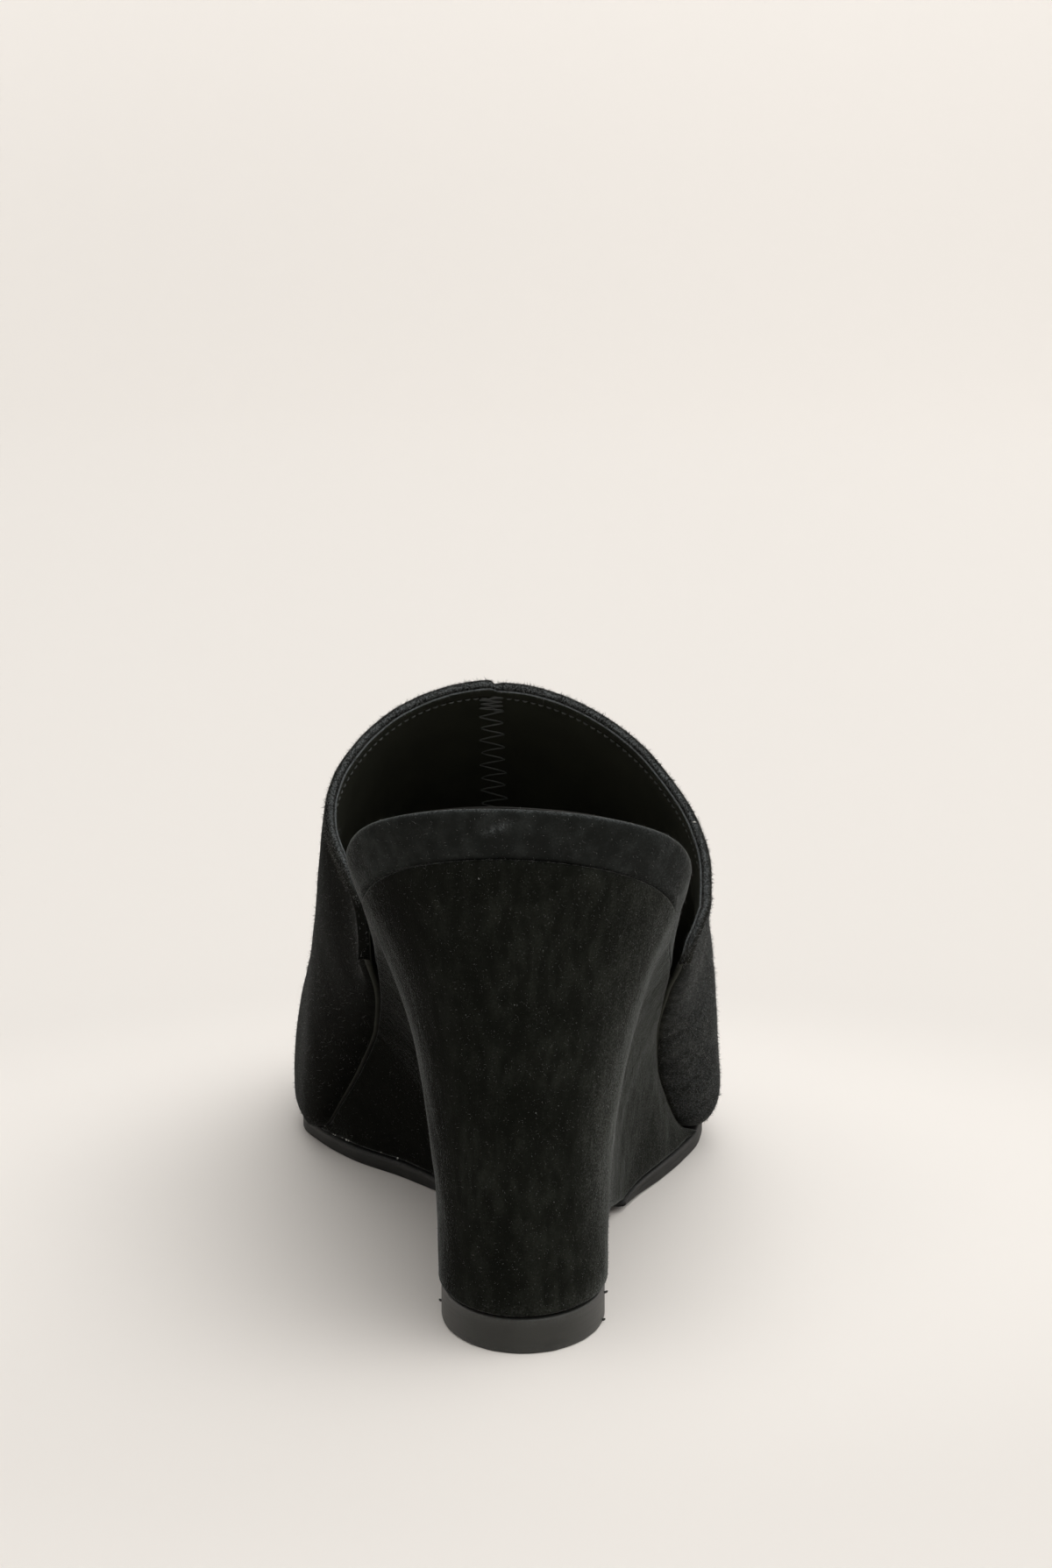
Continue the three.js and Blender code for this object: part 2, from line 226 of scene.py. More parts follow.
def closing(y: Array | float, start: float, tip: Array | float, power: float) -> Array:
    """1 along the shoe, closing to 0 at the tip with an upright end."""
    t = np.clip((y - start) / (tip - start), 0, 1)
    return (1 - t**power) ** (1 / power)


def opening(distance: Array | float, depth: float) -> Array:
    """0 at the back, opening to 1 over the depth of a rounded heel."""
    return closing(depth - distance, 0, depth, 2)


def arc(start: float, end: float, steps: int) -> Array:
    """Angles in radians from start to end degrees, both included."""
    return np.radians(np.linspace(start, end, steps + 1))


def unit(vectors: Array) -> Array:
    """The vectors at length 1."""
    return vectors / np.maximum(np.linalg.norm(vectors, axis=-1, keepdims=True), 1e-9)


def ripple(points: Array, size: float, seed: int) -> Array:
    """A gentle unevenness in space, about -1 to 1.

    Args:
        points: Places in millimetres, in the last axis.
        size: Length of the main waves in millimetres.
        seed: Which unevenness.

    Returns:
        One value for each place.
    """
    draw = np.random.default_rng(seed)
    total = np.zeros(points.shape[:-1])
    for wave in range(7):
        direction = unit(draw.normal(size=3))
        pitch = 2 * math.pi / (size * (0.55 + 0.16 * wave))
        total = total + np.sin(points @ direction * pitch + draw.uniform(0, 2 * math.pi))
    return total / 4


def uneven(points: Array, waves: Waves) -> Array:
    """Sum of ripples, each given by its height and size in millimetres and its number."""
    return sum(height * ripple(points, size, seed) for height, size, seed in waves)


@dataclass(frozen=True)
class Last:
    """The lines and the driving sizes that every piece is cut to, in millimetres."""

    toe_y: float = 232.0
    heel_overhang: float = 6.0
    heel_length: float = 42.0
    heel_round: float = 25.0
    seat_round: float = 34.0
    nose_y: float = 185.0
    nose_power: float = 2.2
    crown_y: float = 200.0
    toe_tuck: float = 2.0
    wall: float = 2.2
    gap: float = 0.4
    insole_play: float = 0.7
    outsole_back: float = 90.0
    wedge_front: float = 142.0
    lean_power: float = 1.8
    lean_reach: float = 70.0
    lines: dict[str, Curve] = field(
        default_factory=lambda: lines_of(PLAN, SEAT, ARCH, OUTSOLE, INSOLE, VAMP)
    )

    def line(self, name: str, y: Array | float) -> Array:
        """Value of one named line at the stations."""
        return self.lines[name](y)

    def half(self, name: str, side: Array | float, y: Array | float) -> Array:
        """Half width or rise called name at stations y, each on its side, -1 medial or 1 lateral."""
        return np.where(side < 0, self.line(name + "_medial", y), self.line(name + "_lateral", y))

    def rest(self, x: Array, y: Array) -> Array:
        """Height of what carries the insole and the upper: the wedge, or the outsole before it."""
        wedge = self.line("seat", y) - self.line("tilt", y) * (x - self.line("axis", y))
        return self.gap + np.maximum(wedge, self.line("tread", y) + self.line("sole", y))

    def wedge_under(self, y: Array) -> Array:
        """Underside of the wedge: over the lift, along the arch, then on the outsole."""
        over_sole = self.line("tread", y) + self.line("sole", y) + self.gap
        return np.where(y < self.outsole_back, self.line("arch", y), over_sole)

    def to_frame(self, points: Array) -> Array:
        """Millimetres from the heel's back to metres from the middle of the heel's ground face."""
        return (points - np.array([0.0, self.heel_length / 2, 0.0])) * MILLIMETRE


# ---- Meshes -------------------------------------------------------------------------------------


def linked(name: str, data: bpy.types.ID) -> bpy.types.Object:
    """Puts a new object with the data in the scene.

    Args:
        name: The object's name.
        data: Its mesh, light or camera.

    Returns:
        The object.
    """
    thing = bpy.data.objects.new(name, data)
    bpy.context.scene.collection.objects.link(thing)
    return thing


@dataclass
class Skin:
    """A sheet of points laid over a surface, then welded where its points meet.

    points holds columns, then rows, then x, y and z in millimetres. marks holds one named value a
    point for the finishes, and finish one material number a point, taken by the facet that starts
    there.
    """

    last: Last
    points: Array
    marks: dict[str, Array] = field(default_factory=dict)
    finish: Array | None = None

    def sheet(self) -> bmesh.types.BMesh:
        """Lays a grid over the points, welds it, closes flat ends and turns its faces outwards.

        Returns:
            The closed mesh in the frame's metres.
        """
        columns, rows = self.points.shape[:2]
        sheet = bmesh.new()
        layers = {name: sheet.verts.layers.float.new(name) for name in self.marks}
        bmesh.ops.create_grid(sheet, x_segments=columns - 1, y_segments=rows - 1, size=1.0)
        grid = np.array([vert.co[:2] for vert in sheet.verts])
        spot = np.rint((grid + 1) / 2 * (columns - 1, rows - 1)).astype(int)
        if self.finish is not None:
            for facet in sheet.faces:
                column, row = spot[[vert.index for vert in facet.verts]].min(axis=0)
                facet.material_index = int(self.finish[column, row])
        places = self.last.to_frame(self.points)[spot[:, 0], spot[:, 1]]
        for vert, place in zip(sheet.verts, places):
            vert.co = place
        for name, layer in layers.items():
            for vert, value in zip(sheet.verts, self.marks[name][spot[:, 0], spot[:, 1]]):
                vert[layer] = float(value)
        bmesh.ops.remove_doubles(sheet, verts=sheet.verts, dist=WELD)
        open_edges = [edge for edge in sheet.edges if edge.is_boundary]
        if open_edges:
            bmesh.ops.holes_fill(sheet, edges=open_edges, sides=0)
        bmesh.ops.recalc_face_normals(sheet, faces=sheet.faces)
        return sheet


def add_piece(
    name: str,
    shape: bmesh.types.BMesh | bpy.types.Mesh,
    finishes: Sequence[bpy.types.Material],
    replaced: Sequence[str] = (),
) -> bpy.types.Object:
    """Makes one finished piece that rides on the shoe.

    Args:
        name: The piece's name.
        shape: Its mesh, in place in the frame.
        finishes: Its materials, in the order of its material numbers.
        replaced: The frame's nodes that it stands for.

    Returns:
        The piece's object.
    """
    if isinstance(shape, bmesh.types.BMesh):
        mesh = bpy.data.meshes.new(name)
        shape.to_mesh(mesh)
        shape.free()
    else:
        mesh = shape
    mesh.name = name
    mesh.shade_smooth()
    for finish in finishes:
        mesh.materials.append(finish)
    piece = linked(name, mesh)
    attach(piece, BODY)
    if replaced:
        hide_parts(*replaced)
    LOG.info("%s: %d faces", name, len(mesh.polygons))
    return piece


def joined_mesh(name: str, points: Array, faces: Array) -> bpy.types.Mesh:
    """One mesh of many small closed shapes, from whole arrays.

    Args:
        name: The mesh's name.
        points: Places in the frame's metres, one row each.
        faces: Corner numbers, one row a face, all with the same number of corners.

    Returns:
        The mesh.
    """
    mesh = bpy.data.meshes.new(name)
    count, corners = faces.shape
    mesh.vertices.add(len(points))
    mesh.vertices.foreach_set("co", points.astype(np.float32).ravel())
    mesh.loops.add(count * corners)
    mesh.loops.foreach_set("vertex_index", faces.astype(np.int32).ravel())
    mesh.polygons.add(count)
    mesh.polygons.foreach_set("loop_start", np.arange(0, count * corners, corners, dtype=np.int32))
    mesh.update(calc_edges=True)
    mesh.validate()
    return mesh


def thread_mesh(name: str, runs: Sequence[Array], radius: float, sides: int = 6) -> bpy.types.Mesh:
    """Round threads along the runs, tapered to a point at both ends.

    Args:
        name: The mesh's name.
        runs: Each thread's own line of points, in the frame's metres.
        radius: The thread's radius in metres.
        sides: How many sides a thread has.

    Returns:
        One mesh of all the threads.
    """
    points, faces, start = [], [], 0
    turn = np.linspace(0, 2 * math.pi, sides, endpoint=False)
    for run in runs:
        along = unit(np.gradient(run, axis=0))
        helper = np.where(np.abs(along[:, 2:]) > 0.9, [[1.0, 0, 0]], [[0, 0, 1.0]])
        across = unit(np.cross(along, helper))
        upward = np.cross(across, along)
        count = len(run)
        ends = np.minimum(np.arange(count), np.arange(count)[::-1])
        swell = radius * np.sqrt(np.clip(ends / 2, 0, 1))
        ring = across[:, None] * np.cos(turn)[:, None] + upward[:, None] * np.sin(turn)[:, None]
        points.append((run[:, None] + ring * swell[:, None, None]).reshape(-1, 3))
        step = np.arange(sides)
        after = (step + 1) % sides
        for i in range(count - 1):
            low, high = start + i * sides, start + (i + 1) * sides
            faces.append(np.stack([low + step, low + after, high + after, high + step], axis=1))
        start += count * sides
    mesh = joined_mesh(name, np.concatenate(points), np.concatenate(faces))
    threads = bmesh.new()
    threads.from_mesh(mesh)
    bmesh.ops.remove_doubles(threads, verts=threads.verts, dist=WELD / 10)
    bmesh.ops.recalc_face_normals(threads, faces=threads.faces)
    threads.to_mesh(mesh)
    threads.free()
    return mesh


def scatter(
    source: bpy.types.Object, count: int, density: Density, draw: np.random.Generator
) -> tuple[Array, Array]:
    """Chance places on the first finish of a piece.

    Args:
        source: The piece, whose mesh is in place.
        count: How many places.
        density: From the facets' middles in millimetres of the frame and their normals, how thickly
            the places lie on each, 0 for none.
        draw: Where the chance comes from.

    Returns:
        The places in metres and the surface's normals there.
    """
    mesh = source.data
    mesh.calc_loop_triangles()
    corner = np.zeros(len(mesh.loop_triangles) * 3, np.int32)
    mesh.loop_triangles.foreach_get("vertices", corner)
    number = np.zeros(len(mesh.loop_triangles), np.int32)
    mesh.loop_triangles.foreach_get("material_index", number)
    place = np.zeros(len(mesh.vertices) * 3, np.float32)
    mesh.vertices.foreach_get("co", place)
    triangles = place.reshape(-1, 3)[corner.reshape(-1, 3)].astype(float)
    normals = np.cross(triangles[:, 1] - triangles[:, 0], triangles[:, 2] - triangles[:, 0])
    area = np.linalg.norm(normals, axis=1)
    normals = unit(normals)
    weight = area * density(triangles.mean(axis=1) / MILLIMETRE, normals) * (number == 0)
    pick = draw.choice(len(triangles), count, p=weight / weight.sum())
    share = draw.dirichlet((1, 1, 1), count)
    return (triangles[pick] * share[:, :, None]).sum(axis=1), normals[pick]


def side_on(places: Array, normals: Array) -> Array:
    """Density of what clings everywhere but underneath, thinner on the inner side where shade is painted."""
    painted_shade = np.maximum(smooth(normals[:, 0], -0.5, -0.95), smooth(places[:, 0], -22, -30))
    return np.where(normals[:, 2] > -0.8, 1.0, 0.0) * mix(1.0, SHADE_SHARE, painted_shade)


@dataclass(frozen=True)
class Nap:
    """Loose suede fibres standing off a piece, each a thin closed spike. Sizes in millimetres."""

    name: str
    count: int
    length: float
    width: float
    seed: int
    lean: float = 0.8  # how far sideways a fibre grows for each length outwards

    def grow(self, source: bpy.types.Object, density: Density) -> bpy.types.Mesh:
        """Scatters the fibres over a piece.

        Args:
            source: The piece, whose mesh is in place.
            density: How thickly the fibres stand, as scatter() takes it.

        Returns:
            One mesh of all the fibres.
        """
        draw = np.random.default_rng(self.seed)
        root, outward = scatter(source, self.count, density, draw)
        sideways = unit(np.cross(outward, draw.normal(size=(self.count, 3))))
        other = np.cross(outward, sideways)
        stand = draw.uniform(0.25, 1.0, (self.count, 1))
        growth = unit(outward * stand + sideways * self.lean)
        length = self.length * MILLIMETRE * draw.gamma(4, 0.25, (self.count, 1))
        base = root - outward * 0.05 * MILLIMETRE
        spread = self.width * MILLIMETRE / 2
        feet = [
            base + spread * (sideways * math.cos(angle) + other * math.sin(angle))
            for angle in np.radians([90, 210, 330])
        ]
        tip = base + growth * np.minimum(length, 2.2 * self.length * MILLIMETRE)
        points = np.stack([*feet, tip], axis=1).reshape(-1, 3)
        first = np.arange(self.count)[:, None] * 4
        faces = np.concatenate([first + np.array(f) for f in ([0, 1, 3], [1, 2, 3], [2, 0, 3], [0, 2, 1])])
        return joined_mesh(self.name, points, faces)

    def dress(
        self, source: bpy.types.Object, fibre: bpy.types.Material, slot: str, density: Density = side_on
    ) -> None:
        """Builds the fibres of a piece in their finish."""
        add_piece(self.name, self.grow(source, density), [fibre])


@dataclass(frozen=True)
class Specks:
    """Dust and crumbs clinging to a piece, each a small closed eight-sided bead."""

    name: str
    count: int
    radius: float
    seed: int

    def beads(self, places: Array, draw: np.random.Generator) -> bpy.types.Mesh:
        """One bead at each place.

        Args:
            places: Places in the frame's metres.
            draw: Where the chance comes from.

        Returns:
            One mesh of all the beads.
        """
        count = len(places)
        size = self.radius * MILLIMETRE * draw.gamma(3, 1 / 3, (count, 1, 1)).clip(0.4, 2.0)
        frames = np.linalg.qr(draw.normal(size=(count, 3, 3)))[0]
        frames = frames * np.sign(np.linalg.det(frames))[:, None, None]
        frames = frames * draw.uniform(0.5, 1.3, (count, 3, 1)) * size
        points = places[:, None] + np.concatenate([frames, -frames], axis=1)
        corner = [[0, 1, 2], [1, 3, 2], [3, 4, 2], [4, 0, 2], [1, 0, 5], [3, 1, 5], [4, 3, 5], [0, 4, 5]]
        first = np.arange(count)[:, None] * 6
        faces = np.concatenate([first + np.array(face) for face in corner])
        return joined_mesh(self.name, points.reshape(-1, 3), faces)

    def dress(self, source: bpy.types.Object, lint: bpy.types.Material, slot: str) -> None:
        """Scatters the specks over a piece in their finish.

        Args:
            source: The piece, whose mesh is in place.
            lint: The specks' finish.
            slot: Not used.
        """
        draw = np.random.default_rng(self.seed)
        places, _ = scatter(source, self.count, side_on, draw)
        add_piece(self.name, self.beads(places, draw), [lint])

    def settle(self, source: bpy.types.Object, near: Array, crumb: bpy.types.Material) -> None:
        """Lays one speck on the piece next to each given place.

        Args:
            source: The piece, whose mesh is in place.
            near: Places in the frame's metres.
            crumb: The specks' finish.
        """
        skin = bmesh.new()
        skin.from_mesh(source.data)
        tree = BVHTree.FromBMesh(skin)
        skin.free()
        places = np.array([tree.find_nearest(Vector(place))[0] for place in near])
        add_piece(self.name, self.beads(places, np.random.default_rng(self.seed)), [crumb])


# ---- Finishes -----------------------------------------------------------------------------------


class Value:
    """A number that changes over a surface. Arithmetic on it adds Math nodes."""

    def __init__(self, shader: "Shader", socket: bpy.types.NodeSocket) -> None:
        """Wraps one output socket of a shader's nodes."""
        self.shader = shader
        self.socket = socket

    def math(self, operation: str, other: Any) -> "Value":
        """Adds one Math node that works on this number and another one."""
        return self.shader.node("ShaderNodeMath", {"operation": operation}, {0: self, 1: other}, "Value")

    __add__ = __radd__ = partialmethod(math, "ADD")
    __mul__ = __rmul__ = partialmethod(math, "MULTIPLY")

    def __rsub__(self, other: float) -> "Value":
        """The plain number other less this one."""
        return self.shader.node("ShaderNodeMath", {"operation": "SUBTRACT"}, {0: other, 1: self}, "Value")

    def rise(self, low: float, high: float) -> "Value":
        """0 up to low, 1 from high on, and a smooth rise between.

        Args:
            low: Value at which the rise starts.
            high: Value at which it ends.

        Returns:
            The risen value.
        """
        settings = {"interpolation_type": "SMOOTHSTEP"}
        inputs = {"Value": self, "From Min": low, "From Max": high}
        return self.shader.node("ShaderNodeMapRange", settings, inputs, "Result")


class Shader:
    """One material's node tree."""

    def __init__(self, name: str) -> None:
        """Starts a material with an empty tree.

        Args:
            name: The material's name.
        """
        self.material = bpy.data.materials.new(name)
        self.material.use_nodes = True
        self.tree = self.material.node_tree
        self.tree.nodes.clear()

    def node(
        self, kind: str, settings: dict[str, Any], inputs: dict[Any, Any], output: str | int | None = None
    ) -> Value | None:
        """Adds one node.

        Args:
            kind: The node's type.
            settings: Its own properties, set before its sockets.
            inputs: Plain values or Values for its sockets, by name or number.
            output: Name or number of the socket that is handed back.

        Returns:
            The named output socket as a Value.
        """
        node = self.tree.nodes.new(kind)
        for name, value in settings.items():
            setattr(node, name, value)
        for name, value in inputs.items():
            if isinstance(value, Value):
                self.tree.links.new(value.socket, node.inputs[name])
            else:
                node.inputs[name].default_value = value
        return None if output is None else Value(self, node.outputs[output])

    def place(self) -> Value:
        """The surface point in the shoe's own metres."""
        return self.node("ShaderNodeTexCoord", {}, {}, "Object")

    def mark(self, name: str) -> Value:
        """A value that the piece carries at its points."""
        return self.node("ShaderNodeAttribute", {"attribute_name": name}, {}, "Fac")

    def noise(self, size: float, detail: float = 2.0, stretch: Colour = (1.0, 1.0, 1.0)) -> Value:
        """Cloudy unevenness.

        Args:
            size: Size of its patches in millimetres.
            detail: How many finer layers it has.
            stretch: How many times closer the patches lie along x, y and z.

        Returns:
            0 to 1, about 0.5 on average.
        """
        place = self.node("ShaderNodeMapping", {}, {"Vector": self.place(), "Scale": stretch}, "Vector")
        inputs = {"Vector": place, "Scale": 1 / (size * MILLIMETRE), "Detail": detail, "Roughness": 0.55}
        return self.node("ShaderNodeTexNoise", {}, inputs, "Fac")

    def blend(self, share: Any, first: Any, second: Any) -> Value:
        """Colour between first and second."""
        inputs = {0: share, 6: self.opaque(first), 7: self.opaque(second)}
        return self.node("ShaderNodeMix", {"data_type": "RGBA"}, inputs, 2)

    @staticmethod
    def opaque(colour: Any) -> Any:
        """A plain colour with its fourth number, or a Value as it is."""
        return colour if isinstance(colour, Value) else (*colour, 1.0)

    def bump(self, height: Value, distance: float, strength: float) -> Value:
        """Normal from a height of 0 to 1, its depth in millimetres and the share that shows."""
        inputs = {"Height": height, "Distance": distance * MILLIMETRE, "Strength": strength}
        return self.node("ShaderNodeBump", {}, inputs, "Normal")

    def finish(self, **sockets: Any) -> bpy.types.Material:
        """Closes the tree with a Principled surface.

        Args:
            sockets: Its sockets, with _ for a space in their names.

        Returns:
            The material.
        """
        inputs = {name.replace("_", " "): value for name, value in sockets.items()}
        surface = self.node("ShaderNodeBsdfPrincipled", {}, inputs, "BSDF")
        self.node("ShaderNodeOutputMaterial", {}, {"Surface": surface})
        return self.material


@dataclass(frozen=True)
class Suede:
    """Dyed suede with a raised nap, cloudy where the nap lies differently, dusted with fine lint, with
    painted highlights and painted shade where its marks say.
    """

    name: str
    dark: Colour
    pale: Colour
    highlight_and_dust: Colour
    streak: Colour = (1.0, 1.0, 1.0)
    sheen: float = 0.36
    dust: float = 0.4

    def material(self) -> bpy.types.Material:
        """Builds the finish.

        Returns:
            The material. One mark carries a pale painted highlight, and on the rim a pale rub; the other
            carries painted shade that turns the suede deep black.
        """
        shader = Shader(self.name)
        broad = shader.noise(15.0, 3.0)
        patch = shader.noise(2.8, 4.0, self.streak)
        grain = shader.noise(0.36, 2.0)
        tufts = patch.rise(0.36, 0.68)
        cloud = broad.rise(0.3, 0.7) * (0.25 + tufts * 0.75) * 0.6 + tufts * grain.rise(0.36, 0.68) * 0.4
        raised = 0.35 + tufts * 0.25 + grain.rise(0.4, 0.66) * 0.9
        painted_shade = shader.mark("painted_shade")
        dust = shader.noise(0.8, 1.0).rise(0.72, 0.8) * self.dust * (1 - painted_shade)
        colour = shader.blend(cloud, self.dark, self.pale)
        # Painted highlight: pale where the highlight mark is high, broken up by the nap's tufts and grain.
        colour = shader.blend((shader.mark("highlight_and_dust") * raised).rise(0.0, 1.0), colour, self.highlight_and_dust)
        # Painted shade: the suede turns deep black where the shade mark is high.
        colour = shader.blend(painted_shade, colour, SHADE_BLACK)
        colour = shader.blend(dust, colour, SUEDE_DUST)
        relief = shader.bump(grain * 0.5 + patch * 0.5, 0.3, 0.9)
        return shader.finish(
            Base_Color=colour,
            Roughness=0.95,
            Normal=relief,
            Specular_IOR_Level=0.04,
            Sheen_Weight=self.sheen,
            Sheen_Roughness=0.12,
            Sheen_Tint=(0.95, 1.0, 0.98, 1.0),
        )


@dataclass(frozen=True)
class SmoothLeather:
    """Fine-grained leather, for the lining and the sock."""

    name: str
    dark: Colour
    pale: Colour
    roughness: float

    def material(self) -> bpy.types.Material:
        """Builds the finish, with pores, faint wrinkles and uneven polish.

        Returns:
            The material.
        """
        shader = Shader(self.name)
        pores = shader.noise(0.55, 3.0)
        wrinkle = shader.noise(2.6, 3.0, (1.0, 2.2, 1.0))
        polish = shader.noise(9.0, 2.0)
        relief = shader.bump(pores * 0.6 + wrinkle * 0.4, 0.12, 0.45)
        return shader.finish(
            Base_Color=shader.blend(polish.rise(0.3, 0.75), self.dark, self.pale),
            Roughness=self.roughness + polish * 0.12,
            Normal=relief,
            Specular_IOR_Level=0.35,
        )


@dataclass(frozen=True)
class Rubber:
    """Satin rubber with a ground edge, dusty where the mark "brushed" says so."""

    name: str
    dark: Colour
    pale: Colour
    roughness: float
    shine: float = 0.45

    def material(self) -> bpy.types.Material:
        """Builds the finish. Grinding leaves fine level lines round the edge.

        Returns:
            The material.
        """
        shader = Shader(self.name)
        grinding = shader.noise(0.8, 3.0, (0.12, 0.12, 3.0))
        cloud = shader.noise(6.0, 3.0)
        grit = shader.noise(0.5, 2.0)
        colour = shader.blend(cloud.rise(0.3, 0.75) * 0.6 + grinding * 0.4, self.dark, self.pale)
        dusty = shader.mark("highlight_and_dust") * (0.4 + grit.rise(0.45, 0.7) * 0.6)
        colour = shader.blend(dusty, colour, RUBBER_DUST)
        relief = shader.bump(grinding * 0.7 + grit * 0.3, 0.08, 0.5)
        return shader.finish(
            Base_Color=colour,
            Roughness=self.roughness + grinding * 0.18,
            Normal=relief,
            Specular_IOR_Level=self.shine,
        )


@dataclass(frozen=True)
class Plain:
    """One even colour, for threads, fibres and lint too fine to carry a pattern."""

    name: str
    colour: Colour
    roughness: float
    sheen: float = 0.0

    def material(self) -> bpy.types.Material:
        """Builds the finish.

        Returns:
            The material.
        """
        return Shader(self.name).finish(
            Base_Color=(*self.colour, 1.0),
            Roughness=self.roughness,
            Sheen_Weight=self.sheen,
            Sheen_Roughness=0.4,
            Specular_IOR_Level=0.3,
        )


@dataclass(frozen=True)
class Finishes:
    """Every finish of the shoe."""

    upper: Suede = Suede(
        name="suede_upper",
        dark=(0.0022, 0.0023, 0.0015),
        pale=(0.026, 0.0268, 0.0225),
        highlight_and_dust=(0.125, 0.137, 0.142),
        sheen=0.12,
    )
    rim: Suede = Suede(
        name="suede_rim",
        dark=(0.0082, 0.0091, 0.0083),
        pale=(0.0225, 0.0248, 0.0238),
        highlight_and_dust=(0.11, 0.121, 0.125),
        dust=0.12,
    )
    wedge: Suede = Suede(
        name="suede_wedge",
        dark=(0.0044, 0.005, 0.0037),
        pale=(0.0166, 0.0183, 0.015),
        highlight_and_dust=(0.057, 0.0605, 0.056),
        streak=(1.3, 1.3, 0.6),
        dust=0.1,
    )
    lining: SmoothLeather = SmoothLeather(
        "lining_leather", (0.0185, 0.02, 0.0127), (0.0245, 0.0262, 0.017), 0.65
    )
    sock: SmoothLeather = SmoothLeather("sock_leather", (0.006, 0.0064, 0.0048), (0.0095, 0.01, 0.0082), 0.45)
    sole: Rubber = Rubber("sole_rubber", (0.003, 0.0031, 0.0025), (0.0065, 0.0068, 0.0058), 0.5, 0.2)
    lift: Rubber = Rubber("lift_rubber", (0.011, 0.0115, 0.0092), (0.019, 0.0198, 0.0165), 0.4)
    thread: Plain = Plain("lining_thread", (0.075, 0.08, 0.077), 0.35)
    fibre: Plain = Plain("suede_fibre", (0.014, 0.0145, 0.0127), 0.9, 0.3)
    lint: Plain = Plain("pale_lint", (0.13, 0.135, 0.13), 0.8)
    crumb: Plain = Plain("pale_crumb", (0.6, 0.6, 0.57), 0.8)


# ---- Upper --------------------------------------------------------------------------------------


@dataclass
class Part:
    """One part of the shoe: the last that it is cut to, and every finish that it may take."""

    last: Last
    finishes: Finishes


@dataclass(frozen=True)
class Trough:
    """A soft crease in the vamp: depth and width in millimetres, ends as turn (degrees) and station."""

    side: Side
    start: Span
    end: Span
    depth: float
    width: float


